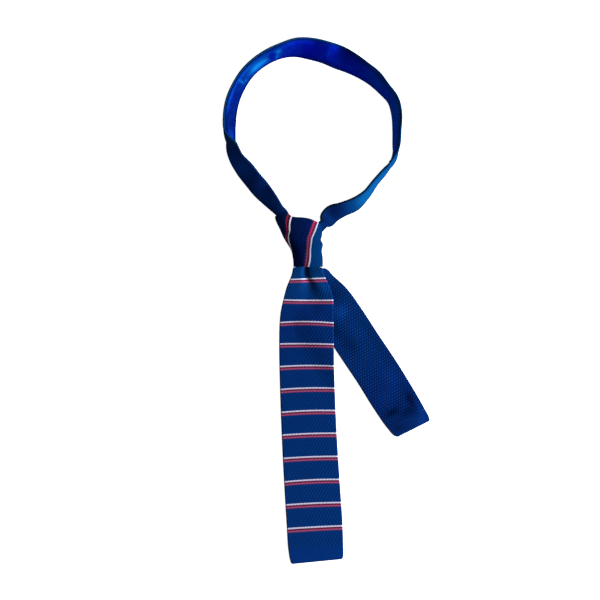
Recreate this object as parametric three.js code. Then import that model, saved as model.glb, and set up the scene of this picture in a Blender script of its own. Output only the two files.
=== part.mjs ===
// A knit tie, tied in a four-in-hand knot and lying face up on a table.
// Millimetres, +Z up. The front blade runs towards -Y and the neck loop lies towards +Y.
// Inside, the throat of the knot, where both blades leave it, is at x = 0, y = 0.
import * as THREE from 'three';

// Cloth: the knit as it lies flat and as it is gathered in the knot, and the satin lining
const KNIT_THICKNESS = 3;
const GATHERED_THICKNESS = 3.6;
const LINING_THICKNESS = 1;
const LINING_MARGIN = 2;
const FOLD_RADIUS = 5;
const SEAT_GAP = 0.3;

// Front blade: angles are from straight down the tie towards +X
const BLADE_WIDTH = 60.8;
const BLADE_REACH = 324.3;
const BLADE_ANGLE = 1.84;
const DIMPLE_DEPTH = 3.6;

// Tail blade
const TAIL_WIDTH = 49;
const TAIL_REACH = 213;
const TAIL_ANGLE = 32.7;

// Neck band and the loop that it makes above the knot
const NECK_WIDTH = 27.5;
const LOOP_WIDTH = 183;
const LOOP_HEIGHT = 184.3;

// Knot: its wrap is a short flared sleeve
const KNOT_HEIGHT = 57.8;
const MOUTH_WIDTH = 54.7;
const THROAT_WIDTH = 31.4;
const CORNER_ROOM = 1.5;
const BEDDING = 0.35;
const RIM_ROOM = 0.7;

// Levels of the undersides of the strips that cross inside the knot, one on the other
const LAYER_PITCH = GATHERED_THICKNESS + SEAT_GAP;
const TAIL_LEVEL = KNIT_THICKNESS + SEAT_GAP + BEDDING;
const CROSSING_LEVEL = TAIL_LEVEL + LAYER_PITCH;
const TURNED_LEVEL = CROSSING_LEVEL + LAYER_PITCH;

// The sleeve is as deep as what it holds
const THROAT_DIMPLE = 0.6 * DIMPLE_DEPTH;
const THROAT_DEPTH = CROSSING_LEVEL + LAYER_PITCH + THROAT_DIMPLE + KNIT_THICKNESS + SEAT_GAP;
const MOUTH_DEPTH = TURNED_LEVEL + LAYER_PITCH + KNIT_THICKNESS + CORNER_ROOM;

// Shares of the sleeve's passage that the gathered strips fill
const PASSAGE_WIDTH = THROAT_WIDTH - 2 * KNIT_THICKNESS;
const GATHERED_TAIL_WIDTH = 0.66 * PASSAGE_WIDTH;
const GATHERED_BLADE_WIDTH = 0.8 * PASSAGE_WIDTH;
const GATHERED_NECK_WIDTH = 0.43 * PASSAGE_WIDTH;

// How many pieces each strip is divided into across its width
const BLADE_DIVISIONS = 12;
const BAND_DIVISIONS = 8;
const EDGE_SHARE = 0.35;

// Sleeve of the knot, from throat to mouth: height as a share of KNOT_HEIGHT, middle as a
// share of MOUTH_WIDTH, how far its width has grown from THROAT_WIDTH to MOUTH_WIDTH, and
// where the ridge on top of it runs, as a share of its half width
const SLEEVE_TABLE = [
  { height: 0, middle: 0.005, flare: 0, ridge: 0.05 },
  { height: 0.15, middle: 0, flare: 0.02, ridge: 0.15 },
  { height: 0.32, middle: -0.026, flare: 0.09, ridge: 0.28 },
  { height: 0.43, middle: -0.054, flare: 0.28, ridge: 0.37 },
  { height: 0.54, middle: -0.1, flare: 0.4, ridge: 0.52 },
  { height: 0.71, middle: -0.127, flare: 0.65, ridge: 0.66 },
  { height: 0.88, middle: -0.159, flare: 0.9, ridge: 0.72 },
  { height: 1, middle: -0.167, flare: 1, ridge: 0.75 },
];
const RIDGE_RISE = 4;
const RIDGE_SOFTNESS = 0.15;
const SLEEVE_ROUNDNESS = 3;
const PASSAGE_ROUNDNESS = 4;
const DEPTH_GROWN_AT = 0.34;

// The mouth's edge, as shares of KNOT_HEIGHT: it slants down to the right, dips where the
// right half of the neck band comes out over it, and is cut lower at the back
const MOUTH_SLANT = 0.11;
const MOUTH_DIP = 0.38;
const DIP_AROUND = 15;
const DIP_SHARPNESS = 12;
const MOUTH_BACK_DROP = 0.21;

// Corner of the wrap that is rolled up at the mouth, on the left of its top
const CORNER_RISE = 0.075;
const CORNER_AT = 113;
const CORNER_SPREAD = 11;

// Turn of the blade over the mouth's back edge, before it goes down inside the sleeve
const TURN_AXIS = { across: -0.112, up: 0.8 };
const TURN_FLATNESS = 0.5;
const TURN_WIDTH = 0.42 * MOUTH_WIDTH;
const TURN_SLANT = -18;
const TURN_STEPS = 8;

// Where the tail's end inside the knot meets the neck band's end
const JOIN = { across: -0.101, up: 0.345, slant: -22 };

// Front blade below the throat. Along and side are shares of BLADE_REACH, width is a share
// of BLADE_WIDTH, skew turns the section in degrees, lift is a share of the level at which
// the blade leaves the knot, dimple a share of DIMPLE_DEPTH
const BLADE_TABLE = [
  { along: 0, width: 0.52, side: 0, skew: -1.8, lift: 1, dimple: 0.6, valley: 0 },
  { along: 0.027, width: 0.59, side: 0, skew: -1.8, lift: 0.85, dimple: 1, valley: 0 },
  { along: 0.068, width: 0.78, side: 0, skew: -1.8, lift: 0.6, dimple: 0.85, valley: 0.08 },
  { along: 0.109, width: 0.9, side: -0.001, skew: -1.6, lift: 0.36, dimple: 0.6, valley: 0.15 },
  { along: 0.149, width: 0.952, side: -0.0066, skew: -1.2, lift: 0.18, dimple: 0.35, valley: 0.2 },
  { along: 0.19, width: 0.978, side: -0.0095, skew: -1, lift: 0.07, dimple: 0.15, valley: 0.2 },
  { along: 0.264, width: 0.99, side: -0.0122, skew: -0.6, lift: 0, dimple: 0, valley: 0.2 },
  { along: 0.41, width: 0.995, side: -0.0136, skew: -0.2, lift: 0, dimple: 0, valley: 0 },
  { along: 0.563, width: 1, side: -0.0125, skew: 0.4, lift: 0, dimple: 0, valley: 0 },
  { along: 0.719, width: 1.01, side: -0.0088, skew: 1, lift: 0, dimple: 0, valley: 0 },
  { along: 0.871, width: 1.015, side: -0.004, skew: 1.8, lift: 0, dimple: 0, valley: 0 },
  { along: 0.953, width: 1, side: -0.0025, skew: 3, lift: 0, dimple: 0, valley: 0 },
  { along: 0.993, width: 0.955, side: 0, skew: 3.7, lift: 0, dimple: 0, valley: 0 },
  { along: 1, width: 0.92, side: 0, skew: 3.8, lift: 0, dimple: 0, valley: 0 },
];
const DIMPLE_SPREAD = 0.42;

// Tail blade below the throat: along and side are shares of TAIL_REACH, width a share of
// TAIL_WIDTH, skew in degrees
const TAIL_TABLE = [
  { along: 0, width: 0.35, side: 0, skew: -12 },
  { along: 0.02, width: 0.35, side: 0, skew: -10 },
  { along: 0.045, width: 0.62, side: 0.003, skew: -8 },
  { along: 0.097, width: 0.8, side: -0.004, skew: -6 },
  { along: 0.206, width: 0.97, side: 0.0006, skew: 0 },
  { along: 0.346, width: 1, side: 0.0046, skew: 0 },
  { along: 0.489, width: 1, side: 0.0056, skew: 0 },
  { along: 0.64, width: 1, side: 0.0086, skew: 0 },
  { along: 0.788, width: 1, side: 0.0066, skew: 0 },
  { along: 0.928, width: 0.95, side: 0.0056, skew: -3 },
  { along: 0.99, width: 0.87, side: 0.0076, skew: -6 },
  { along: 1, width: 0.81, side: 0.0086, skew: -6 },
];
const TAIL_SETTLED_AT = 0.13;

// Neck band inside and beside the knot: across is a share of MOUTH_WIDTH, up of
// KNOT_HEIGHT, width of NECK_WIDTH, and lift is 0 on the table, 1 at the tail's level and 2
// at the crossing's. Slopes are in degrees: 0 lies flat with the lining up, 90 stands on the
// inner edge, 180 lies turned over
const LEFT_OF_KNOT = [
  { across: -0.231, up: 0.552, width: 0, inner: 180, outer: 180, fold: 0.5, lift: 1 },
  { across: -0.36, up: 0.781, width: 0, inner: 180, outer: 180, fold: 0.5, lift: 1.18 },
  { across: -0.465, up: 0.969, width: 0.42, inner: 170, outer: 170, fold: 0.5, lift: 1.6 },
  { across: -0.59, up: 1.093, width: 0.5, inner: 160, outer: 160, fold: 0.5, lift: 1.36 },
];
const RIGHT_OF_KNOT = [
  { across: 0.485, up: 1, width: 0.9, inner: 139, outer: 139, fold: 0.5, lift: 0.57 },
  { across: 0.367, up: 0.865, width: 0.69, inner: 150, outer: 150, fold: 0.5, lift: 1.25 },
  { across: 0.262, up: 0.762, width: 0, inner: 180, outer: 180, fold: 0.5, lift: 2 },
  { across: 0.09, up: 0.61, width: 0, inner: 180, outer: 180, fold: 0.5, lift: 2 },
  { across: -0.07, up: 0.438, width: 0, inner: 180, outer: 180, fold: 0.5, lift: 2 },
];

// Neck loop, from the knot's left round to its right: across is a share of LOOP_WIDTH, up
// of LOOP_HEIGHT above the knot, width of NECK_WIDTH, and the band turns from the inner to
// the outer slope at the fold, which is a share of its width
const LOOP_TABLE = [
  { across: -0.221, up: 0.082, width: 0.71, inner: 150, outer: 150, fold: 0, lift: 0.5 },
  { across: -0.276, up: 0.145, width: 0.85, inner: 150, outer: 150, fold: 0, lift: 0 },
  { across: -0.329, up: 0.208, width: 0.93, inner: 138, outer: 140, fold: 0, lift: 0 },
  { across: -0.38, up: 0.271, width: 1, inner: 100, outer: 137, fold: 0.08, lift: 0 },
  { across: -0.43, up: 0.339, width: 1, inner: 60, outer: 140, fold: 0.25, lift: 0 },
  { across: -0.457, up: 0.42, width: 1, inner: 38, outer: 150, fold: 0.47, lift: 0 },
  { across: -0.468, up: 0.505, width: 1, inner: 53, outer: 92, fold: 0.72, lift: 0 },
  { across: -0.466, up: 0.591, width: 1, inner: 59, outer: 66, fold: 0.75, lift: 0 },
  { across: -0.45, up: 0.676, width: 1, inner: 60, outer: 60, fold: 0.75, lift: 0 },
  { across: -0.416, up: 0.757, width: 1, inner: 61, outer: 61, fold: 0.5, lift: 0 },
  { across: -0.368, up: 0.833, width: 1, inner: 61.5, outer: 61.5, fold: 0.5, lift: 0 },
  { across: -0.304, up: 0.896, width: 1, inner: 61.5, outer: 61.5, fold: 0.5, lift: 0 },
  { across: -0.229, up: 0.944, width: 1, inner: 60, outer: 60, fold: 0.5, lift: 0 },
  { across: -0.146, up: 0.977, width: 1, inner: 55.5, outer: 55.5, fold: 0.5, lift: 0 },
  { across: -0.059, up: 0.993, width: 1, inner: 41, outer: 41, fold: 0.5, lift: 0 },
  { across: 0.027, up: 0.985, width: 1, inner: 29, outer: 29, fold: 0.5, lift: 0 },
  { across: 0.109, up: 0.965, width: 1, inner: 25, outer: 25, fold: 0.5, lift: 0 },
  { across: 0.185, up: 0.937, width: 1, inner: 18, outer: 18, fold: 0.5, lift: 0 },
  { across: 0.259, up: 0.902, width: 1, inner: 33, outer: 33, fold: 0.5, lift: 0 },
  { across: 0.329, up: 0.86, width: 1, inner: 45, outer: 45, fold: 0.5, lift: 0 },
  { across: 0.397, up: 0.813, width: 1, inner: 51, outer: 51, fold: 0.5, lift: 0 },
  { across: 0.456, up: 0.751, width: 1, inner: 61, outer: 61, fold: 0.5, lift: 0 },
  { across: 0.514, up: 0.68, width: 1, inner: 66, outer: 66, fold: 0.5, lift: 0 },
  { across: 0.536, up: 0.593, width: 1, inner: 69, outer: 69, fold: 0.5, lift: 0 },
  { across: 0.537, up: 0.505, width: 1, inner: 74, outer: 74, fold: 0.5, lift: 0 },
  { across: 0.534, up: 0.417, width: 1, inner: 77, outer: 77, fold: 0.5, lift: 0 },
  { across: 0.518, up: 0.326, width: 1, inner: 75, outer: 105, fold: 0.5, lift: 0 },
  { across: 0.462, up: 0.254, width: 1, inner: 100, outer: 100, fold: 0.5, lift: 0 },
  { across: 0.406, up: 0.189, width: 1, inner: 102, outer: 102, fold: 0.5, lift: 0 },
  { across: 0.353, up: 0.119, width: 1, inner: 107, outer: 107, fold: 0.5, lift: 0 },
  { across: 0.285, up: 0.061, width: 1, inner: 119, outer: 119, fold: 0.5, lift: 0 },
  { across: 0.203, up: 0.026, width: 1, inner: 123, outer: 123, fold: 0.5, lift: 0.14 },
];

// The lining runs from one row of the loop to another
const LINING_FROM_ROW = 4.6;
const LINING_TO_ROW = 27;

const { clamp, degToRad, lerp, smoothstep } = THREE.MathUtils;

// A smooth curve through the rows of a table, read at any value of its key column
function tableCurve(rows, key) {
  const names = Object.keys(rows[0]);
  const places = rows.map((row) => row[key]);
  const values = rows.flatMap((row) => names.map((name) => row[name]));
  const curve = new THREE.CubicInterpolant(places, values, names.length);
  return (place) => {
    const found = curve.evaluate(clamp(place, places[0], places[places.length - 1]));
    return Object.fromEntries(names.map((name, column) => [name, found[column]]));
  };
}

// Horizontal unit vector, turned by an angle in degrees from +X
function heading(degrees) {
  const angle = degToRad(degrees);
  return new THREE.Vector3(Math.cos(angle), Math.sin(angle), 0);
}

// A place beside the throat, in shares of the knot's size
function knotPlace({ across, up }) {
  return new THREE.Vector3(across * MOUTH_WIDTH, up * KNOT_HEIGHT, 0);
}

// Closed outline of a strip's cross-section: its upper face, one point on the round of its
// last edge, its lower face back again, and one point on the round of its first edge
function stripSection(middles, normals, firstEdge, lastEdge, thickness) {
  const half = thickness / 2;
  const rounding = thickness * EDGE_SHARE;
  const upper = middles.map((point, i) => point.clone().addScaledVector(normals[i], half));
  const lower = middles.map((point, i) => point.clone().addScaledVector(normals[i], -half));
  const last = middles[middles.length - 1].clone().addScaledVector(lastEdge, rounding);
  const first = middles[0].clone().addScaledVector(firstEdge, rounding);
  return [...upper, last, ...lower.reverse(), first];
}

// Closed solid through a row of such outlines, with a cap on each end. The facets of its
// two faces are split the same way, so that it keeps its thickness where it twists
function loftStrip(sections) {
  const count = sections[0].length;
  const divisions = count / 2 - 2;
  const faces = [];
  const addQuad = (a, b, c, d) => faces.push(a, b, c, a, c, d);
  for (let station = 0; station < sections.length - 1; station += 1) {
    const here = station * count;
    const next = here + count;
    for (let k = 0; k < count; k += 1) {
      const after = (k + 1) % count;
      const corners = [here + k, next + k, next + after, here + after];
      if (k > divisions) {
        corners.push(corners.shift());
      }
      addQuad(...corners);
    }
  }
  const addCap = (base, flipped) => {
    const turn = (corners) => (flipped ? corners.reverse() : corners).map((k) => base + k);
    for (let k = 0; k < divisions; k += 1) {
      addQuad(...turn([k, k + 1, 2 * divisions + 1 - k, 2 * divisions + 2 - k]));
    }
    faces.push(...turn([divisions, divisions + 1, divisions + 2]));
    faces.push(...turn([2 * divisions + 2, 2 * divisions + 3, 0]));
  };
  addCap(0, false);
  addCap((sections.length - 1) * count, true);
  return solid(sections.flat(), faces);
}

// Geometry from shared points and the triangles between them
function solid(points, faces) {
  const geometry = new THREE.BufferGeometry().setFromPoints(points);
  geometry.setIndex(faces);
  geometry.computeVertexNormals();
  return geometry;
}

// Evenly spaced numbers from one end to the other, both included
function spread(from, to, steps) {
  return Array.from({ length: steps + 1 }, (_, i) => lerp(from, to, i / steps));
}

// Section of the knot's sleeve at a height: its middle, half width and half depth
const sleeveCurve = tableCurve(SLEEVE_TABLE, 'height');
function sleeveAt(height) {
  const { middle, flare, ridge } = sleeveCurve(height);
  const depthShare = smoothstep(height, 0, DEPTH_GROWN_AT);
  return {
    ridge,
    middle: middle * MOUTH_WIDTH,
    halfWidth: lerp(THROAT_WIDTH, MOUTH_WIDTH, flare) / 2,
    halfDepth: lerp(THROAT_DEPTH, MOUTH_DEPTH, depthShare) / 2,
  };
}

// Height of the mouth's edge round the sleeve, as a share of KNOT_HEIGHT. The angle is 0 on
// the right and 90 degrees on top
function mouthShare(angle) {
  const slant = MOUTH_SLANT * (1 + Math.cos(angle)) / 2;
  const around = (1 + Math.cos(angle + degToRad(DIP_AROUND))) / 2;
  const back = MOUTH_BACK_DROP * ((1 - Math.sin(angle)) / 2) ** 2;
  const fromCorner = (angle - degToRad(CORNER_AT)) / degToRad(CORNER_SPREAD);
  const corner = CORNER_RISE * Math.exp(-(fromCorner ** 2));
  return 1 - slant - MOUTH_DIP * around ** DIP_SHARPNESS - back + corner;
}

// How much the sleeve's top is raised at a share across it, by its ridge
function ridgeRise(across, ridge) {
  const side = across < ridge ? 1 + ridge : 1 - ridge;
  const fall = Math.hypot(across - ridge, RIDGE_SOFTNESS) - RIDGE_SOFTNESS;
  return RIDGE_RISE * Math.max(1 - fall / side, 0);
}

// A point of the sleeve: wall 0 is its outside, wall 1 the passage inside it
function sleevePoint(angle, share, wall) {
  const height = share * mouthShare(angle);
  const { middle, halfWidth, halfDepth, ridge } = sleeveAt(height);
  const power = 2 / lerp(SLEEVE_ROUNDNESS, PASSAGE_ROUNDNESS, wall);
  const cosine = Math.cos(angle);
  const sine = Math.sin(angle);
  const across = Math.sign(cosine) * Math.abs(cosine) ** power;
  const up = Math.sign(sine) * Math.abs(sine) ** power;
  const inset = wall * KNIT_THICKNESS;
  const rise = Math.max(up, 0) * ridgeRise(across, ridge);
  return new THREE.Vector3(
    middle + (halfWidth - inset) * across,
    height * KNOT_HEIGHT,
    halfDepth + (halfDepth - inset) * up + rise,
  );
}

// The wrap of the knot: a sleeve that lies on the table, open at throat and mouth
function knotWrap() {
  const around = 40;
  const rows = 9;
  const points = [];
  for (let turn = 0; turn < around; turn += 1) {
    const angle = 2 * Math.PI * turn / around;
    const shares = spread(0, 1, rows);
    shares.forEach((share) => points.push(sleevePoint(angle, share, 0)));
    shares.reverse().forEach((share) => points.push(sleevePoint(angle, share, 1)));
  }
  const count = 2 * (rows + 1);
  const faces = [];
  for (let turn = 0; turn < around; turn += 1) {
    const here = turn * count;
    const next = ((turn + 1) % around) * count;
    for (let k = 0; k < count; k += 1) {
      const after = (k + 1) % count;
      faces.push(here + k, here + after, next + after, here + k, next + after, next + k);
    }
  }
  return solid(points, faces);
}

// Y of the mouth's edge at the sleeve's back, at a given x: the higher of its two rims
function mouthBackY(x) {
  const rims = [0, 1].map((wall) => {
    const roundness = lerp(SLEEVE_ROUNDNESS, PASSAGE_ROUNDNESS, wall);
    let height = 1 - MOUTH_BACK_DROP;
    for (let pass = 0; pass < 4; pass += 1) {
      const { middle, halfWidth } = sleeveAt(height);
      const across = clamp((x - middle) / (halfWidth - wall * KNIT_THICKNESS), -1, 1);
      const cosine = Math.sign(across) * Math.abs(across) ** (roundness / 2);
      height = mouthShare(-Math.acos(cosine));
    }
    return height * KNOT_HEIGHT;
  });
  return Math.max(...rims);
}

// Directions of a blade that leaves the throat at an angle: along it and to its right
function bladeFrame(angle) {
  return { down: heading(angle - 90), right: heading(angle) };
}

const tailCurve = tableCurve(TAIL_TABLE, 'along');
const tailFrame = bladeFrame(TAIL_ANGLE);

// The tail at a share of its reach: middle, half width, level and thickness
function tailAt(along) {
  const row = tailCurve(along);
  const settled = smoothstep(along, 0, TAIL_SETTLED_AT);
  const fullHalf = row.width * TAIL_WIDTH / 2;
  return {
    side: row.side * TAIL_REACH,
    skew: row.skew,
    halfWidth: lerp(GATHERED_TAIL_WIDTH / 2, fullHalf, smoothstep(along, 0.01, 0.045)),
    level: lerp(TAIL_LEVEL, 0, settled),
    thickness: lerp(GATHERED_THICKNESS, KNIT_THICKNESS, settled),
  };
}

// How far the tail, where it lies underneath, lifts what is laid over it at a point
const COVER_FROM = -17;
const COVER_FULL = -5;
function coverLevel(point) {
  const along = point.dot(tailFrame.down) / TAIL_REACH;
  const tail = tailAt(along);
  const inside = tail.halfWidth - Math.abs(point.dot(tailFrame.right) - tail.side);
  const share = smoothstep(inside, COVER_FROM, COVER_FULL);
  return share * (tail.level + tail.thickness + SEAT_GAP);
}

// A flat section: middle point, direction across, half width, and the underside's level as
// a function of the share across and the point
function flatSection(middle, across, halfWidth, thickness, levelAt) {
  const reach = halfWidth - thickness * EDGE_SHARE;
  const middles = spread(-1, 1, BLADE_DIVISIONS).map((share) => {
    const point = middle.clone().addScaledVector(across, share * reach);
    point.z = levelAt(share, point) + thickness / 2;
    return point;
  });
  const normals = middles.map(() => new THREE.Vector3(0, 0, 1));
  return stripSection(middles, normals, across.clone().negate(), across, thickness);
}

// Tail blade: from its join inside the knot, through the throat, to its end
function tailBlade() {
  const sections = [];
  const joint = knotPlace(JOIN);
  const level = () => TAIL_LEVEL;
  const tailAcross = heading(TAIL_ANGLE + TAIL_TABLE[0].skew);
  for (const share of [0, 0.5]) {
    const middle = joint.clone().lerp(new THREE.Vector3(), share);
    const across = heading(-JOIN.slant).lerp(tailAcross, share).normalize();
    const halfWidth = lerp(GATHERED_NECK_WIDTH, GATHERED_TAIL_WIDTH, share) / 2;
    sections.push(flatSection(middle, across, halfWidth, GATHERED_THICKNESS, level));
  }
  const stations = [...spread(0, 0.2, 8), ...spread(0.3, 0.9, 6), 0.94, 0.97, 0.99, 1];
  for (const along of stations) {
    const tail = tailAt(along);
    const middle = tailFrame.down.clone().multiplyScalar(along * TAIL_REACH);
    middle.addScaledVector(tailFrame.right, tail.side);
    const across = heading(TAIL_ANGLE + tail.skew);
    sections.push(flatSection(middle, across, tail.halfWidth, tail.thickness, () => tail.level));
  }
  return loftStrip(sections);
}

// Height of the blade's gathers beside its dimple, at a share across the blade
function dimpleRise(share, valley, depth) {
  return depth * (1 - Math.exp(-(((share - valley) / DIMPLE_SPREAD) ** 2)));
}

// The blade's turn: it starts at the mouth's back edge, lies on the table, and goes round
// in half an oval to the level at which it goes down inside the sleeve
function bladeTurn() {
  const sections = [];
  const axis = knotPlace(TURN_AXIS);
  const across = heading(TURN_SLANT);
  const outward = heading(TURN_SLANT + 90);
  const lowest = KNIT_THICKNESS / 2;
  const radius = (TURNED_LEVEL + GATHERED_THICKNESS / 2 - lowest) / 2;
  const centre = lowest + radius;
  const reach = TURN_WIDTH / 2 - GATHERED_THICKNESS * EDGE_SHARE;
  const shares = spread(-1, 1, BLADE_DIVISIONS);
  const edges = [across.clone().negate(), across];
  const legStart = shares.map((share) => {
    const point = axis.clone().addScaledVector(across, share * reach);
    const length = (point.y - mouthBackY(point.x) - SEAT_GAP - RIM_ROOM) / outward.y;
    point.addScaledVector(outward, -length);
    point.z = lowest;
    return point;
  });
  const down = new THREE.Vector3(0, 0, -1);
  sections.push(stripSection(legStart, shares.map(() => down), ...edges, KNIT_THICKNESS));
  for (const angle of spread(-90, 90, TURN_STEPS)) {
    const cosine = Math.cos(degToRad(angle));
    const sine = Math.sin(degToRad(angle));
    const normal = outward.clone().multiplyScalar(cosine).setZ(sine * TURN_FLATNESS).normalize();
    const thickness = lerp(KNIT_THICKNESS, GATHERED_THICKNESS, (angle + 90) / 180);
    const middles = shares.map((share) => {
      const point = axis.clone().addScaledVector(across, share * reach);
      point.addScaledVector(outward, TURN_FLATNESS * radius * cosine);
      return point.setZ(centre + radius * sine);
    });
    sections.push(stripSection(middles, shares.map(() => normal), ...edges, thickness));
  }
  return sections;
}

// The blade inside the sleeve, from its turn down to the throat
function bladeInside() {
  const axis = knotPlace(TURN_AXIS);
  return [0.8, 0.6, 0.45, 0.36, 0.27, 0.18, 0.09].map((height) => {
    const share = height / TURN_AXIS.up;
    const middle = axis.clone().multiplyScalar(share);
    const across = heading(TURN_SLANT * share);
    const halfWidth = lerp(GATHERED_BLADE_WIDTH, TURN_WIDTH, share) / 2;
    const low = smoothstep(height, 0, DEPTH_GROWN_AT);
    const level = lerp(CROSSING_LEVEL, TURNED_LEVEL, low);
    const depth = lerp(THROAT_DIMPLE, 0, low);
    const levelAt = (place) => level + dimpleRise(place, 0, depth);
    return flatSection(middle, across, halfWidth, GATHERED_THICKNESS, levelAt);
  });
}

// The blade below the throat, laid over the tail and on the table
function bladeBelow() {
  const curve = tableCurve(BLADE_TABLE, 'along');
  const frame = bladeFrame(BLADE_ANGLE);
  const stations = [...spread(0, 0.28, 14), ...spread(0.34, 0.94, 8), 0.965, 0.985, 0.995, 1];
  return stations.map((along) => {
    const row = curve(along);
    const settled = smoothstep(along, 0, 0.1);
    const middle = frame.down.clone().multiplyScalar(along * BLADE_REACH);
    middle.addScaledVector(frame.right, row.side * BLADE_REACH);
    const across = heading(BLADE_ANGLE + row.skew);
    const fullHalf = row.width * BLADE_WIDTH / 2;
    const halfWidth = lerp(GATHERED_BLADE_WIDTH / 2, fullHalf, smoothstep(along, 0, 0.02));
    const thickness = lerp(GATHERED_THICKNESS, KNIT_THICKNESS, settled);
    const levelAt = (share, point) => {
      const rise = dimpleRise(share, row.valley, Math.max(row.dimple, 0) * DIMPLE_DEPTH);
      const free = Math.max(row.lift, 0) * CROSSING_LEVEL + rise;
      return Math.max(free, coverLevel(point));
    };
    return flatSection(middle, across, halfWidth, thickness, levelAt);
  });
}

// Front blade, from its turn over the knot to its hem
function frontBlade() {
  return loftStrip([...bladeTurn(), ...bladeInside(), ...bladeBelow()]);
}

// The band's rows with their real places, and how far along the band each lies
function bandRows() {
  const join = { ...JOIN, width: 0, inner: 180, outer: 180, fold: 0.5, lift: 1 };
  const besideKnot = (row) => ({ ...row, x: row.across * MOUTH_WIDTH, y: row.up * KNOT_HEIGHT });
  const inLoop = (row) => ({
    ...row,
    x: row.across * LOOP_WIDTH,
    y: KNOT_HEIGHT + row.up * LOOP_HEIGHT,
  });
  const places = [
    ...[join, ...LEFT_OF_KNOT].map(besideKnot),
    ...LOOP_TABLE.map(inLoop),
    ...RIGHT_OF_KNOT.map(besideKnot),
  ];
  let along = 0;
  return places.map(({ x, y, width, inner, outer, fold, lift }, i) => {
    const before = places[Math.max(i - 1, 0)];
    along += Math.hypot(x - before.x, y - before.y);
    return { along, x, y, width, inner, outer, fold, lift };
  });
}

const BAND_ROWS = bandRows();
const BAND_LENGTH = BAND_ROWS[BAND_ROWS.length - 1].along;
const bandCurve = tableCurve(BAND_ROWS, 'along');

// Outward direction across the band at a place along it
function bandOutward(along) {
  if (along <= 0) {
    return heading(180 - JOIN.slant);
  }
  const step = 2;
  const here = bandCurve(along - step);
  const there = bandCurve(along + step);
  return new THREE.Vector3(here.y - there.y, there.x - here.x, 0).normalize();
}

// The band's cross-section at a place along it, as a curve from its inner to its outer
// edge: points down the middle of the knit, the direction out of the lined face at each,
// and the direction along the curve. It rests with its lowest edge at its level
function bandProfile(along) {
  const row = bandCurve(along);
  const gather = 1 - smoothstep(row.width, 0.3, 0.75);
  const thickness = lerp(KNIT_THICKNESS, GATHERED_THICKNESS, gather);
  const width = Math.max(row.width * NECK_WIDTH, GATHERED_NECK_WIDTH);
  const length = width - 2 * thickness * EDGE_SHARE;
  const inner = degToRad(row.inner);
  const outer = degToRad(row.outer);
  const bend = Math.max(FOLD_RADIUS * Math.abs(outer - inner) / length, 0.05);
  const slopeAt = (share) => {
    const turned = clamp((share - row.fold) / bend + 0.5, 0, 1);
    return lerp(inner, outer, turned);
  };
  const fine = 8;
  const steps = BAND_DIVISIONS * fine;
  const profile = [{ out: 0, up: 0, slope: slopeAt(0) }];
  let out = 0;
  let up = 0;
  for (let k = 1; k <= steps; k += 1) {
    const slope = slopeAt((k - 0.5) / steps);
    out += Math.cos(slope) * length / steps;
    up += Math.sin(slope) * length / steps;
    if (k % fine === 0) {
      profile.push({ out, up, slope: slopeAt(k / steps) });
    }
  }
  const half = thickness / 2;
  const faces = profile.flatMap(({ out: o, up: u, slope }) => [
    { o: o - half * Math.sin(slope), u: u + half * Math.cos(slope) },
    { o: o + half * Math.sin(slope), u: u - half * Math.cos(slope) },
  ]);
  const rounding = thickness * EDGE_SHARE;
  faces.push({ o: -rounding * Math.cos(inner), u: -rounding * Math.sin(inner) });
  faces.push({ o: out + rounding * Math.cos(outer), u: up + rounding * Math.sin(outer) });
  const outs = faces.map(({ o }) => o);
  const ups = faces.map(({ u }) => u);
  const middle = (Math.min(...outs) + Math.max(...outs)) / 2;
  const lowest = Math.min(...ups);
  const layers = clamp(row.lift, 0, 2);
  const level = Math.min(layers, 1) * TAIL_LEVEL + Math.max(layers - 1, 0) * LAYER_PITCH;
  const origin = new THREE.Vector3(row.x, row.y, level - lowest);
  const outward = bandOutward(along);
  if (along <= 0) {
    origin.addScaledVector(heading(90 - JOIN.slant), SEAT_GAP);
  }
  const place = (o, u) => origin.clone().addScaledVector(outward, o - middle).setZ(origin.z + u);
  const turned = (slope) => outward.clone().multiplyScalar(Math.cos(slope)).setZ(Math.sin(slope));
  return {
    thickness,
    length,
    points: profile.map(({ out: o, up: u }) => place(o, u)),
    normals: profile.map(({ slope }) => turned(slope + Math.PI / 2)),
    tangents: profile.map(({ slope }) => turned(slope)),
  };
}

// Neck band: from its join with the tail, round the loop, to its end in the knot
const BAND_STATIONS = spread(0, BAND_LENGTH, Math.round(BAND_LENGTH / 11));
function neckBand() {
  return loftStrip(BAND_STATIONS.map((along) => {
    const { points, normals, tangents, thickness } = bandProfile(along);
    const lastEdge = tangents[tangents.length - 1];
    return stripSection(points, normals, tangents[0].clone().negate(), lastEdge, thickness);
  }));
}

// A point part of the way through a list of points, as a share of the list
function along(list, share) {
  const place = clamp(share, 0, 1) * (list.length - 1);
  const index = Math.min(Math.floor(place), list.length - 2);
  return list[index].clone().lerp(list[index + 1], place - index);
}

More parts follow.
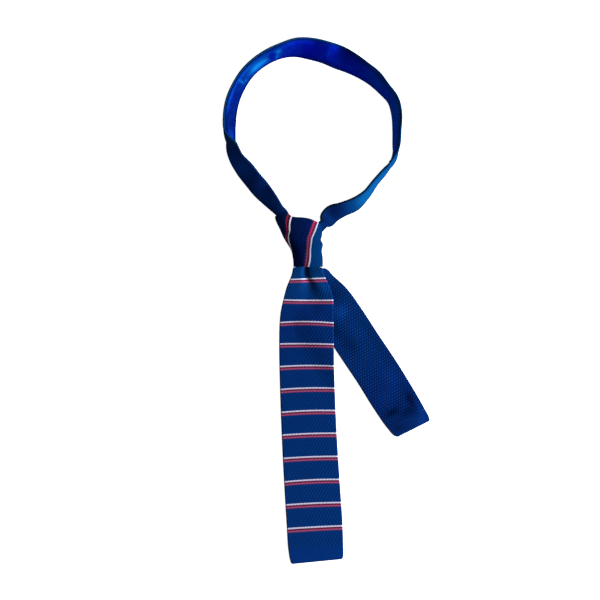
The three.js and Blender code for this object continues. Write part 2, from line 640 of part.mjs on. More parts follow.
// Satin lining on the band's neck side
function neckLining() {
  const rowPlace = (row) => {
    const index = Math.floor(row);
    const places = BAND_ROWS.slice(1 + LEFT_OF_KNOT.length).map((found) => found.along);
    return lerp(places[index], places[index + 1], row - index);
  };
  const from = rowPlace(LINING_FROM_ROW);
  const to = rowPlace(LINING_TO_ROW);
  const stations = BAND_STATIONS.filter((place) => place >= from && place <= to);
  const offset = SEAT_GAP + LINING_THICKNESS / 2;
  return loftStrip(stations.map((place) => {
    const band = bandProfile(place);
    const margin = LINING_MARGIN / band.length;
    const shares = spread(0, 1, BAND_DIVISIONS).map((share) => clamp(share, margin, 1 - margin));
    const normals = shares.map((share) => along(band.normals, share).normalize());
    const points = shares.map((share, i) => (
      along(band.points, share).addScaledVector(normals[i], band.thickness / 2 + offset)
    ));
    const firstEdge = along(band.tangents, shares[0]).negate();
    const lastEdge = along(band.tangents, shares[BAND_DIVISIONS]);
    return stripSection(points, normals, firstEdge, lastEdge, LINING_THICKNESS);
  }));
}

// One named piece of the tie
function piece(name, geometry, finish) {
  const mesh = new THREE.Mesh(geometry, new THREE.MeshStandardMaterial(finish));
  mesh.name = name;
  return mesh;
}

const NAVY_KNIT = { color: 0x0a2e69, roughness: 0.85, metalness: 0 };
const BLUE_SATIN = { color: 0x0535b8, roughness: 0.35, metalness: 0 };

const tie = new THREE.Group();
const laid = new THREE.Group();
laid.add(
  piece('front_blade', frontBlade(), NAVY_KNIT),
  piece('tail_blade', tailBlade(), NAVY_KNIT),
  piece('knot_wrap', knotWrap(), NAVY_KNIT),
  piece('neck_band', neckBand(), NAVY_KNIT),
  piece('neck_lining', neckLining(), BLUE_SATIN),
);
tie.add(laid);

// The origin is under the middle of the whole tie, on the table
const bounds = new THREE.Box3().setFromObject(laid);
const middle = bounds.getCenter(new THREE.Vector3());
laid.position.set(-middle.x, -middle.y, -bounds.min.z);

export default tie;
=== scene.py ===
"""A knit tie, tied in a four-in-hand knot and lying face up on a pale surface.

Shapes are worked out in millimetres from the throat of the knot, where both blades leave
it, with the front blade running towards -Y. They are then placed in the part's own frame,
in metres.
"""

import logging
from collections.abc import Callable, Mapping, Sequence
from dataclasses import dataclass
from enum import Enum
from typing import Any, NamedTuple

import bmesh
import bpy
import numpy as np
from mathutils import Matrix, Vector


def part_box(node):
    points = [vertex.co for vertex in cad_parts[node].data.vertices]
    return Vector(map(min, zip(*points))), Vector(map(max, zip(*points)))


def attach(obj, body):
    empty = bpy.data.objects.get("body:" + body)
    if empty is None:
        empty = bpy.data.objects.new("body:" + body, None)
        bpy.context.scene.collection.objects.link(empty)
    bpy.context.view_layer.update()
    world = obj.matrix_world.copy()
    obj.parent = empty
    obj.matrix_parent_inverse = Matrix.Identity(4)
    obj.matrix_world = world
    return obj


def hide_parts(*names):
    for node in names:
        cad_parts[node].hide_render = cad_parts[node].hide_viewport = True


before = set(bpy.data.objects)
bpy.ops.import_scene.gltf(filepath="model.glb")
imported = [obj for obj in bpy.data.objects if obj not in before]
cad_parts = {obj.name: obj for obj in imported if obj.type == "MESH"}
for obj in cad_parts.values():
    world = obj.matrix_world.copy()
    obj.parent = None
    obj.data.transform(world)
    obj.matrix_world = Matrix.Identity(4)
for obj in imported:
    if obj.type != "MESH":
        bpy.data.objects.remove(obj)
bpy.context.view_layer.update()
LOG = logging.getLogger("tie")

MILLIMETRE = 0.001
CLOTH_MAP_SIZE = 0.8
"""Metres of cloth that one unit of a piece's cloth map spans."""

CLOTH_MAP_START = (0.15, 0.15)
"""Where the cloth map has the cloth's own zero."""

Array = np.ndarray


# Smooth curves and small sums


def lerp(start: Any, end: Any, share: Any) -> Any:
    """Returns the value part of the way from start to end."""
    return start + (end - start) * share


def smoothstep(value: Any, low: float, high: float) -> Any:
    """Returns 0 below low, 1 above high, and an easy rise between them."""
    share = np.clip((value - low) / (high - low), 0.0, 1.0)
    return share * share * (3.0 - 2.0 * share)


def bell(value: Any, middle: float, spread: float) -> Any:
    """Returns a smooth hump of height 1 about a middle."""
    return np.exp(-(((value - middle) / spread) ** 2))


def heading(degrees: Any) -> Array:
    """Returns horizontal unit vectors, turned by an angle in degrees from +X."""
    angle = np.radians(degrees)
    return np.stack([np.cos(angle), np.sin(angle), np.zeros_like(angle)], axis=-1)


def unit(vectors: Array) -> Array:
    """Returns the vectors at a length of one."""
    return vectors / np.linalg.norm(vectors, axis=-1, keepdims=True)


UP = np.array([0.0, 0.0, 1.0])


class SmoothTable:
    """A smooth curve through a table's rows, read at any value of its first column."""

    def __init__(self, rows: Sequence[NamedTuple]) -> None:
        """Keeps the rows.

        Args:
            rows: named tuples of one kind, with the first column rising.
        """
        self.kind = type(rows[0])
        self.values = np.array(rows, float)
        self.keys = self.values[:, 0]

    def __call__(self, place: Any) -> Any:
        """Reads the curve.

        Args:
            place: values of the first column.

        Returns:
            A named tuple of the rows' kind, with an array in each column.
        """
        keys, values = self.keys, self.values
        final = len(keys) - 1
        place = np.clip(np.asarray(place, float), keys[0], keys[-1])
        after = np.clip(np.searchsorted(keys, place, side="right"), 1, final)
        before = after - 1
        earlier = np.where(before == 0, after, before - 1)
        later = np.where(after == final, before, np.minimum(after + 1, final))
        half_gap = (keys[after] - keys[before]) / 2
        start_weight = half_gap / (keys[before] - keys[earlier])
        end_weight = half_gap / (keys[later] - keys[after])
        p = (place - keys[before]) / (2 * half_gap)
        p2, p3 = p**2, p**3
        weights = (
            (earlier, start_weight * (2 * p2 - p3 - p)),
            (before, (1 + start_weight) * p3 - (1.5 + 2 * start_weight) * p2
             + (start_weight - 0.5) * p + 1),
            (after, (1.5 + end_weight) * p2 - (1 + end_weight) * p3 + 0.5 * p),
            (later, end_weight * (p3 - p2)),
        )
        found = sum(values[row] * weight[..., None] for row, weight in weights)
        return self.kind(*np.moveaxis(found, -1, 0))


def dense_between(start: float, end: float, step: float) -> Array:
    """Returns evenly spaced values from start to end, about a step apart."""
    count = max(int(round(abs(end - start) / step)), 1)
    return np.linspace(start, end, count + 1)


# Sizes and shape tables


class SleeveRow(NamedTuple):
    """One height of the knot's sleeve."""

    height: float
    middle: float
    flare: float
    ridge: float


SLEEVE_ROWS = (
    SleeveRow(0, 0.005, 0, 0.05),
    SleeveRow(0.15, 0, 0.02, 0.15),
    SleeveRow(0.32, -0.026, 0.09, 0.28),
    SleeveRow(0.43, -0.054, 0.28, 0.37),
    SleeveRow(0.54, -0.1, 0.4, 0.52),
    SleeveRow(0.71, -0.127, 0.65, 0.66),
    SleeveRow(0.88, -0.159, 0.9, 0.72),
    SleeveRow(1, -0.167, 1, 0.75),
)


class BladeRow(NamedTuple):
    """One place along the front blade, in shares of its sizes."""

    along: float
    width: float
    side: float
    skew: float
    lift: float
    dimple: float
    valley: float


BLADE_ROWS = (
    BladeRow(0, 0.52, 0, -1.8, 1, 0.6, 0),
    BladeRow(0.027, 0.59, 0, -1.8, 0.85, 1, 0),
    BladeRow(0.068, 0.78, 0, -1.8, 0.6, 0.85, 0.08),
    BladeRow(0.109, 0.9, -0.001, -1.6, 0.36, 0.6, 0.15),
    BladeRow(0.149, 0.952, -0.0066, -1.2, 0.18, 0.35, 0.2),
    BladeRow(0.19, 0.978, -0.0095, -1, 0.07, 0.15, 0.2),
    BladeRow(0.264, 0.99, -0.0122, -0.6, 0, 0, 0.2),
    BladeRow(0.41, 0.995, -0.0136, -0.2, 0, 0, 0),
    BladeRow(0.563, 1, -0.0125, 0.4, 0, 0, 0),
    BladeRow(0.719, 1.01, -0.0088, 1, 0, 0, 0),
    BladeRow(0.871, 1.015, -0.004, 1.8, 0, 0, 0),
    BladeRow(0.953, 1, -0.0025, 3, 0, 0, 0),
    BladeRow(0.993, 0.955, 0, 3.7, 0, 0, 0),
    BladeRow(1, 0.92, 0, 3.8, 0, 0, 0),
)


class DrapeRow(NamedTuple):
    """How the cloth lies at a distance down the front blade, in millimetres.

    Its crosswise lines are shifted down the blade, tilted down to the right, and bowed down
    at both edges.
    """

    distance: float
    shift: float
    tilt: float
    bow: float


DRAPE_ROWS = (
    DrapeRow(0, 0, -0.7, 0),
    DrapeRow(13, 0, -0.7, 0),
    DrapeRow(36.6, 0, 0.3, -0.3),
    DrapeRow(60.5, -0.55, 0.6, 1.2),
    DrapeRow(84.6, -0.4, 0.8, 0.5),
    DrapeRow(109, -0.7, 0.45, 0.85),
    DrapeRow(133.5, -0.55, 0.1, 0.9),
    DrapeRow(158, -0.5, 0, 0.9),
    DrapeRow(183.4, -0.3, 0.1, 0.65),
    DrapeRow(208.7, 0, 0.2, 0.6),
    DrapeRow(234, -0.2, 0.1, 0.85),
    DrapeRow(260, -0.25, 0.3, 0.55),
    DrapeRow(286, -0.1, 0.35, 0.3),
    DrapeRow(325, -0.1, 0.35, 0.3),
)


class TailRow(NamedTuple):
    """One place along the tail blade, in shares of its sizes."""

    along: float
    width: float
    side: float
    skew: float


TAIL_ROWS = (
    TailRow(0, 0.35, 0, -12),
    TailRow(0.02, 0.35, 0, -10),
    TailRow(0.045, 0.62, 0.003, -8),
    TailRow(0.097, 0.8, -0.004, -6),
    TailRow(0.206, 0.97, 0.0006, 0),
    TailRow(0.346, 1, 0.0046, 0),
    TailRow(0.489, 1, 0.0056, 0),
    TailRow(0.64, 1, 0.0086, 0),
    TailRow(0.788, 1, 0.0066, 0),
    TailRow(0.928, 0.95, 0.0056, -3),
    TailRow(0.99, 0.87, 0.0076, -6),
    TailRow(1, 0.81, 0.0086, -6),
)


class BandRow(NamedTuple):
    """One place along the neck band.

    Slopes are in degrees: 0 lies flat with the lining up, 90 stands on the inner edge, and
    180 lies turned over. Lift is 0 on the table, 1 at the tail's level and 2 at the
    crossing's.
    """

    across: float
    up: float
    width: float
    inner: float
    outer: float
    fold: float
    lift: float


LEFT_OF_KNOT = (
    BandRow(-0.231, 0.552, 0, 180, 180, 0.5, 1),
    BandRow(-0.36, 0.781, 0, 180, 180, 0.5, 1.18),
    BandRow(-0.465, 0.969, 0.42, 170, 170, 0.5, 1.6),
    BandRow(-0.59, 1.093, 0.5, 160, 160, 0.5, 1.36),
)
RIGHT_OF_KNOT = (
    BandRow(0.485, 1, 0.9, 139, 139, 0.5, 0.57),
    BandRow(0.367, 0.865, 0.69, 150, 150, 0.5, 1.25),
    BandRow(0.262, 0.762, 0, 180, 180, 0.5, 2),
    BandRow(0.09, 0.61, 0, 180, 180, 0.5, 2),
    BandRow(-0.07, 0.438, 0, 180, 180, 0.5, 2),
)
LOOP_ROWS = (
    BandRow(-0.221, 0.082, 0.71, 150, 150, 0, 0.5),
    BandRow(-0.276, 0.145, 0.85, 150, 150, 0, 0),
    BandRow(-0.329, 0.208, 0.93, 138, 140, 0, 0),
    BandRow(-0.38, 0.271, 1, 100, 137, 0.08, 0),
    BandRow(-0.43, 0.339, 1, 60, 140, 0.25, 0),
    BandRow(-0.457, 0.42, 1, 38, 150, 0.47, 0),
    BandRow(-0.468, 0.505, 1, 53, 92, 0.72, 0),
    BandRow(-0.466, 0.591, 1, 59, 66, 0.75, 0),
    BandRow(-0.45, 0.676, 1, 60, 60, 0.75, 0),
    BandRow(-0.416, 0.757, 1, 61, 61, 0.5, 0),
    BandRow(-0.368, 0.833, 1, 61.5, 61.5, 0.5, 0),
    BandRow(-0.304, 0.896, 1, 61.5, 61.5, 0.5, 0),
    BandRow(-0.229, 0.944, 1, 60, 60, 0.5, 0),
    BandRow(-0.146, 0.977, 1, 55.5, 55.5, 0.5, 0),
    BandRow(-0.059, 0.993, 1, 41, 41, 0.5, 0),
    BandRow(0.027, 0.985, 1, 29, 29, 0.5, 0),
    BandRow(0.109, 0.965, 1, 25, 25, 0.5, 0),
    BandRow(0.185, 0.937, 1, 18, 18, 0.5, 0),
    BandRow(0.259, 0.902, 1, 33, 33, 0.5, 0),
    BandRow(0.329, 0.86, 1, 45, 45, 0.5, 0),
    BandRow(0.397, 0.813, 1, 51, 51, 0.5, 0),
    BandRow(0.456, 0.751, 1, 61, 61, 0.5, 0),
    BandRow(0.514, 0.68, 1, 66, 66, 0.5, 0),
    BandRow(0.536, 0.593, 1, 69, 69, 0.5, 0),
    BandRow(0.537, 0.505, 1, 74, 74, 0.5, 0),
    BandRow(0.534, 0.417, 1, 77, 77, 0.5, 0),
    BandRow(0.518, 0.326, 1, 75, 105, 0.5, 0),
    BandRow(0.462, 0.254, 1, 100, 100, 0.5, 0),
    BandRow(0.406, 0.189, 1, 102, 102, 0.5, 0),
    BandRow(0.353, 0.119, 1, 107, 107, 0.5, 0),
    BandRow(0.285, 0.061, 1, 119, 119, 0.5, 0),
    BandRow(0.203, 0.026, 1, 123, 123, 0.5, 0.14),
)


@dataclass(frozen=True)
class Cloth:
    """Thicknesses and gaps of the tie's cloth, in millimetres."""

    knit: float = 3.0
    gathered: float = 3.6
    lining: float = 1.0
    fold_radius: float = 5.0
    seat_gap: float = 0.3
    edge_share: float = 0.35


CLOTH = Cloth()


class Hollow(NamedTuple):
    """A soft hollow across the knot's side, in millimetres from the throat."""

    at: float
    spread: float
    depth: float


@dataclass(frozen=True)
class Knot:
    """Sizes of the four-in-hand knot, and the sleeve that its wrap makes.

    They are the part's own, except for the trimmed mouth and the folds on the right side,
    which only this model has.
    """

    height: float = 57.8
    mouth_width: float = 54.7
    throat_width: float = 31.4
    corner_room: float = 1.5
    bedding: float = 0.35
    rim_room: float = 0.7
    dimple_depth: float = 3.6
    dimple_at_throat: float = 0.6
    ridge_rise: float = 4.0
    ridge_softness: float = 0.15
    sleeve_roundness: float = 3.0
    passage_roundness: float = 4.0
    depth_grown_at: float = 0.34
    mouth_slant: float = 0.11
    mouth_dip: float = 0.38
    dip_around: float = 15.0
    dip_sharpness: float = 12.0
    mouth_back_drop: float = 0.21
    corner_rise: float = 0.075
    corner_at: float = 113.0
    corner_spread: float = 11.0
    trim: float = 0.045
    trim_at: float = 52.0
    trim_spread: float = 24.0
    side_bulge: float = 1.0
    side_hollows: tuple[Hollow, ...] = (Hollow(29.5, 2.6, 1.25), Hollow(17.0, 3.5, 0.5))
    side_calm: tuple[float, float] = (36.0, 46.0)
    turn_across: float = -0.112
    turn_up: float = 0.8
    turn_flatness: float = 0.5
    turn_slant: float = -18.0
    join_across: float = -0.101
    join_up: float = 0.345
    join_slant: float = -22.0
    tail_gather: float = 0.66
    blade_gather: float = 0.8
    neck_gather: float = 0.43
    turn_gather: float = 0.42

    @property
    def layer_pitch(self) -> float:
        """Rise from one gathered layer to the next."""
        return CLOTH.gathered + CLOTH.seat_gap

    @property
    def tail_level(self) -> float:
        """Level of the tail's underside inside the knot."""
        return CLOTH.knit + CLOTH.seat_gap + self.bedding

    @property
    def crossing_level(self) -> float:
        """Level of the layer over the tail."""
        return self.tail_level + self.layer_pitch

    @property
    def turned_level(self) -> float:
        """Level of the blade where it has turned over the mouth's edge."""
        return self.crossing_level + self.layer_pitch

    @property
    def throat_dimple(self) -> float:
        """Depth of the dimple where it leaves the knot."""
        return self.dimple_at_throat * self.dimple_depth

    @property
    def passage_width(self) -> float:
        """Width inside the throat."""
        return self.throat_width - 2 * CLOTH.knit

    @property
    def gathered_tail(self) -> float:
        """Width of the tail inside the knot."""
        return self.tail_gather * self.passage_width

    @property
    def gathered_blade(self) -> float:
        """Width of the front blade inside the throat."""
        return self.blade_gather * self.passage_width

    @property
    def gathered_neck(self) -> float:
        """Width of the neck band inside the knot."""
        return self.neck_gather * self.passage_width

    @property
    def turn_width(self) -> float:
        """Width of the blade where it turns over the mouth's edge."""
        return self.turn_gather * self.mouth_width

    def place(self, across: float, up: float) -> Array:
        """Returns a place beside the throat, from shares of the knot's size."""
        return np.array([across * self.mouth_width, up * self.height, 0.0])

    def section(self, height: Any) -> tuple[Array, Array, Array, Array]:
        """Reads the sleeve at a height.

        Args:
            height: shares of the knot's height.

        Returns:
            Its middle, half width and half depth, and where its ridge runs.
        """
        row = SLEEVE_CURVE(height)
        grown = smoothstep(height, 0, self.depth_grown_at)
        throat_depth = (
            self.crossing_level + self.layer_pitch + self.throat_dimple
            + CLOTH.knit + CLOTH.seat_gap
        )
        mouth_depth = (
            self.turned_level + self.layer_pitch + CLOTH.knit + self.corner_room
        )
        return (
            row.middle * self.mouth_width,
            lerp(self.throat_width, self.mouth_width, row.flare) / 2,
            lerp(throat_depth, mouth_depth, grown) / 2,
            row.ridge,
        )

    def mouth_share(self, angle: Any) -> Any:
        """Returns the height of the mouth's edge round the sleeve, as a share."""
        slant = self.mouth_slant * (1 + np.cos(angle)) / 2
        around = (1 + np.cos(angle + np.radians(self.dip_around))) / 2
        back = self.mouth_back_drop * ((1 - np.sin(angle)) / 2) ** 2
        corner = self.corner_rise * bell(
            angle, np.radians(self.corner_at), np.radians(self.corner_spread)
        )
        trim = self.trim * bell(angle, np.radians(self.trim_at), np.radians(self.trim_spread))
        dip = self.mouth_dip * around**self.dip_sharpness
        return 1 - slant - dip - back - trim + corner

    def side_folds(self, height: Array) -> Array:
        """Returns how far soft folds push the sleeve's right side out, in millimetres."""
        rise = height * self.height
        folds = self.side_bulge
        for hollow in self.side_hollows:
            folds = folds - hollow.depth * bell(rise, hollow.at, hollow.spread)
        return folds * (1 - smoothstep(rise, *self.side_calm))

    def ridge(self, across: Any, ridge: Any) -> Any:
        """Returns how much the ridge raises the sleeve's top at a share across it."""
        side = np.where(across < ridge, 1 + ridge, 1 - ridge)
        fall = np.hypot(across - ridge, self.ridge_softness) - self.ridge_softness
        return self.ridge_rise * np.maximum(1 - fall / side, 0)

    def sleeve_point(self, angle: Any, share: Any, wall: Any) -> Array:
        """Finds points of the sleeve.

        Args:
            angle: angles round it in radians, 0 on the right and a quarter turn on top.
            share: shares of the way from throat to mouth.
            wall: 0 on its outside and 1 on the passage inside it.

        Returns:
            The points, in millimetres from the throat.
        """
        height = share * self.mouth_share(angle)
        middle, half_width, half_depth, ridge = self.section(height)
        power = 2 / lerp(self.sleeve_roundness, self.passage_roundness, wall)
        cosine, sine = np.cos(angle), np.sin(angle)
        across = np.sign(cosine) * np.abs(cosine) ** power
        up = np.sign(sine) * np.abs(sine) ** power
        inset = wall * CLOTH.knit
        rise = np.maximum(up, 0) * self.ridge(across, ridge)
        return np.stack(
            [
                middle + (half_width - inset) * across
                + self.side_folds(height) * np.maximum(cosine, 0) ** 2,
                height * self.height + 0 * across,
                half_depth + (half_depth - inset) * up + rise,
            ],
            axis=-1,
        )

    def mouth_back(self, x: Array) -> Array:
        """Returns how far up the mouth's back edge is at places across it."""
        rims = []
        for wall in (0, 1):
            roundness = lerp(self.sleeve_roundness, self.passage_roundness, wall)
            height = np.full_like(x, 1 - self.mouth_back_drop)
            for _ in range(4):
                middle, half_width, _, _ = self.section(height)
                across = np.clip((x - middle) / (half_width - wall * CLOTH.knit), -1, 1)
                cosine = np.sign(across) * np.abs(across) ** (roundness / 2)
                height = self.mouth_share(-np.arccos(cosine))
            rims.append(height * self.height)
        return np.maximum(*rims)


SLEEVE_CURVE = SmoothTable(SLEEVE_ROWS)
KNOT = Knot()


def throat_place() -> Vector:
    """Returns the throat's place in the part's frame, from the box of the knot's wrap."""
    angle = np.linspace(0, 2 * np.pi, 40, endpoint=False)[:, None]
    share = np.linspace(0, 1, 10)[None, :]
    low = KNOT.sleeve_point(angle, share, 0).min(axis=(0, 1)) * MILLIMETRE
    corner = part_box("knot_wrap")[0]
    return Vector((corner.x - low[0], corner.y - low[1], 0.0))


THROAT = throat_place()


# Cloth skins


@dataclass
class Ribbon:
    """The middle of a strip of cloth, in rows along it and columns across it.

    Attributes:
        middles: points, rows by columns by three, in millimetres.
        normals: the side that the strip shows, at each point.
        outwards: the direction across the strip at each point.
        thickness: one for each row.
        along: the place along the cloth, of each row or of each point, in millimetres.
        shown: what the half thickness on the shown side is multiplied by, at each point.
    """

    middles: Array
    normals: Array
    outwards: Array
    thickness: Array
    along: Array
    shown: Array | float = 1.0

    @classmethod
    def face_up(
        cls, points: Array, across: Array, thickness: Array, along: Array
    ) -> "Ribbon":
        """Makes a ribbon that lies with its shown side up.

        Args:
            points: its middle, rows by columns by three.
            across: the direction across it, of each row.
            thickness: one for each row.
            along: the place along the cloth, of each row or of each point.

        Returns:
            The ribbon.
        """
        return cls(
            middles=points,
            normals=np.broadcast_to(UP, points.shape),
            outwards=np.broadcast_to(across[:, None], points.shape),
            thickness=thickness,
            along=along,
        )


@dataclass(frozen=True)
class StripColumns:
    """How the skin of a strip is divided round its section.

    It starts in the middle of the hidden face, goes round one edge, over the shown face,
    round the other edge and back.
    """

    width: float
    shown_step: float = 0.6
    hidden_step: float = 2.4
    edge_steps: int = 5

    def layout(self) -> tuple[Array, Array, Array, Array]:
        """Lays out the columns.

        Returns:
            For each, its share across the strip, its height over the middle and reach past
            the edge as shares of their most, and its place round the cloth in millimetres
            from the middle of the shown face.
        """
        half = self.width / 2
        hidden = np.linspace(0, 1, max(int(half / self.hidden_step), 3) + 1)
        turn = np.radians(np.linspace(-90, 90, self.edge_steps + 1))[1:-1]
        shown = np.linspace(1, -1, int(self.width / self.shown_step) + 1)
        ones = np.ones_like(turn)
        share = np.concatenate([hidden, ones, shown, -ones, -hidden[::-1]])
        height = np.concatenate(
            [-np.ones_like(hidden), np.sin(turn), np.ones_like(shown),
             np.sin(turn)[::-1], -np.ones_like(hidden)]
        )
        reach = np.concatenate(
            [0 * hidden, np.cos(turn), 0 * shown, -np.cos(turn), 0 * hidden]
        )
        rises = np.diff(height) * CLOTH.knit / 2
        reaches = np.diff(reach) * CLOTH.edge_share * CLOTH.knit
        steps = np.hypot(np.diff(share) * half, np.hypot(rises, reaches))
        round_cloth = np.concatenate([[0], np.cumsum(steps)])
        round_cloth = round_cloth[-1] / 2 - round_cloth
        return share, height, reach, round_cloth


@dataclass(frozen=True)
class KnitRelief:
    """Stitches raised on a skin, in millimetres.

    Attributes:
        wale: the lattice's period across the cloth.
        course: its period along the cloth.
        lean: the share of the stitches that lean to the right.
        rows: how strong the lines across the cloth are beside the leaning ones.
        height: how high they stand.
        turn: how far the lattice is turned on the cloth, in degrees.
    """

    wale: float = 3.7
    course: float = 5.8
    lean: float = 0.5
    rows: float = 0.5
    height: float = 0.08
    turn: float = 0.0

    def phases(self, across: Any, along: Any) -> tuple[Any, Any]:
        """Returns a place across and along the cloth in radians of a stitch."""
        turn = np.radians(self.turn)
        a = across * float(np.cos(turn)) + along * float(np.sin(turn))
        b = along * float(np.cos(turn)) - across * float(np.sin(turn))
        return a * (2 * np.pi / self.wale), b * (2 * np.pi / self.course)

    def stitch(self, a: Any, b: Any, cosine: Callable[[Any], Any]) -> Any:
        """Adds the lattice's waves up, from -1 to 1.

        Args:
            a: the place across the cloth, in radians of a stitch.
            b: the place along the cloth, in radians of a stitch.
            cosine: how the cosine of such a place is found.
        """
        leaning = cosine(a + b) * self.lean + cosine(a - b) * (1 - self.lean)
        return (leaning + cosine(b * 2) * self.rows) * (1 / (1 + self.rows))

    def rise(self, across: Array, along: Array) -> Array:
        """Returns how far the stitches stand proud at places on the cloth."""
        return self.height * self.stitch(*self.phases(across, along), np.cos)


def grid_mesh(name: str, across: int, up: int, half: float) -> bpy.types.Mesh:
    """Makes a flat square grid.

    Args:
        name: the mesh's name.
        across: how many faces it has along X.
        up: how many faces it has along Y.
        half: how far it reaches to each side of its middle.

    Returns:
        The mesh.
    """
    sheet = bmesh.new()
    bmesh.ops.create_grid(sheet, x_segments=across, y_segments=up, size=half, calc_uvs=False)
    mesh = bpy.data.meshes.new(name)
    sheet.to_mesh(mesh)
    sheet.free()
    return mesh


def add_object(name: str, data: Any) -> bpy.types.Object:
    """Puts an object with these data into the scene."""
    made = bpy.data.objects.new(name, data)
    bpy.context.scene.collection.objects.link(made)
    return made


def skin_mesh(name: str, places: Array, cloth: Array, relief: Array) -> bpy.types.Object:
    """Makes a closed skin from a grid that is rolled up along its columns.

    Args:
        name: the piece's name.
        places: points, rows by columns by three, in millimetres from the throat.
        cloth: places on the cloth, rows by columns by two, in millimetres.
        relief: how far each point is then moved out of the skin, in millimetres.

    Returns:
        The piece, smooth shaded, with its cloth map.
    """
    rows, columns = places.shape[:2]
    mesh = grid_mesh(name, columns - 1, rows - 1, 0.5)
    flat = np.empty(len(mesh.vertices) * 3)
    mesh.vertices.foreach_get("co", flat)
    flat = flat.reshape(-1, 3)
    column = np.rint((flat[:, 0] + 0.5) * (columns - 1)).astype(int)
    row = np.rint((flat[:, 1] + 0.5) * (rows - 1)).astype(int)
    placed = places[row, column] * MILLIMETRE + np.array(THROAT)
    mesh.vertices.foreach_set("co", placed.ravel())
    raised = mesh.attributes.new("relief", "FLOAT", "POINT")
    raised.data.foreach_set("value", relief[row, column])
    corner = np.empty(len(mesh.loops), int)
    mesh.loops.foreach_get("vertex_index", corner)
    on_cloth = cloth[row, column][corner] * MILLIMETRE / CLOTH_MAP_SIZE
    on_cloth = on_cloth + np.array(CLOTH_MAP_START)
    mesh.uv_layers.new(name="cloth").data.foreach_set("uv", on_cloth.ravel())

    body = bmesh.new()
    body.from_mesh(mesh)
    bmesh.ops.remove_doubles(body, verts=body.verts, dist=2e-6)
    rims = [edge for edge in body.edges if edge.is_boundary]
    if rims:
        bmesh.ops.holes_fill(body, edges=rims, sides=0)
    bmesh.ops.recalc_face_normals(body, faces=body.faces)
    body.to_mesh(mesh)
    body.free()
    settle_relief(mesh)
    mesh.polygons.foreach_set("use_smooth", np.ones(len(mesh.polygons), bool))
    return add_object(name, mesh)


def settle_relief(mesh: bpy.types.Mesh) -> None:
    """Moves each point out of the skin by its relief, and drops the relief.

    Args:
        mesh: a closed mesh with a relief value on each point.
    """
    count = len(mesh.vertices)
    raised, normals, points = np.empty(count), np.empty(count * 3), np.empty(count * 3)
    mesh.attributes["relief"].data.foreach_get("value", raised)
    mesh.vertex_normals.foreach_get("vector", normals)
    mesh.vertices.foreach_get("co", points)
    mesh.vertices.foreach_set("co", points + normals * np.repeat(raised * MILLIMETRE, 3))
    mesh.attributes.remove(mesh.attributes["relief"])
    mesh.update()


def strip_skin(
    name: str,
    ribbon: Ribbon,
    columns: StripColumns,
    relief: Callable[[Array, Array], Array],
) -> bpy.types.Object:
    """Gives a ribbon its thickness and rounded edges.

    Args:
        name: the piece's name.
        ribbon: its middle, with a column for each of the skin's columns.
        columns: how the skin is divided.
        relief: how far the skin stands proud, from places round and along the cloth.

    Returns:
        The piece.
    """
    _, height, reach, round_cloth = columns.layout()
    thickness = ribbon.thickness[:, None, None]
    level = height * np.where(height > 0, ribbon.shown, 1.0)
    places = (
        ribbon.middles
        + ribbon.normals * thickness / 2 * np.atleast_2d(level)[..., None]
        + ribbon.outwards * thickness * CLOTH.edge_share * reach[None, :, None]
    )
    across = np.broadcast_to(round_cloth[None, :], places.shape[:2])
    along = np.broadcast_to(ribbon.along.reshape(len(places), -1), places.shape[:2])
    shown = smoothstep(height, -0.6, 0.2)[None, :]
    return skin_mesh(
        name, places, np.stack([across, along], axis=-1), relief(across, along) * shown
    )


THINNEST_END = 0.12
"""Share of its thickness that a rounded end keeps at its very edge."""

HEM_ROUNDING = 1.5
"""Radius of a hem's rounded end, in millimetres."""

HEM_ROWS = np.array([1.5, 1.0, 0.6, 0.3, 0.1, 0])
"""Distances of a hem's last rows from its end, in millimetres."""


def rounded_ends(thickness: Array, distance: Array, radius: float) -> Array:
    """Returns thicknesses that round off at an end, from the distance of each row to it."""
    inside = np.clip(1 - distance / radius, 0, 1)
    return thickness * np.maximum(np.sqrt(1 - inside**2), THINNEST_END)


def rows_to_hem(reach: float, step: float) -> Array:
    """Returns rows a step apart as shares of a blade's reach, closer together at its hem."""
    even = dense_between(0, 1 - 2 / reach, step / reach)
    return np.concatenate([even, 1 - HEM_ROWS / reach])


def spread(middle: Array, across: Array, share: Array, reach: Array) -> Array:
    """Returns points at shares of each row's reach to either side of its middle."""
    return middle[:, None] + across[:, None] * (share * reach[:, None])[..., None]


# Finishes


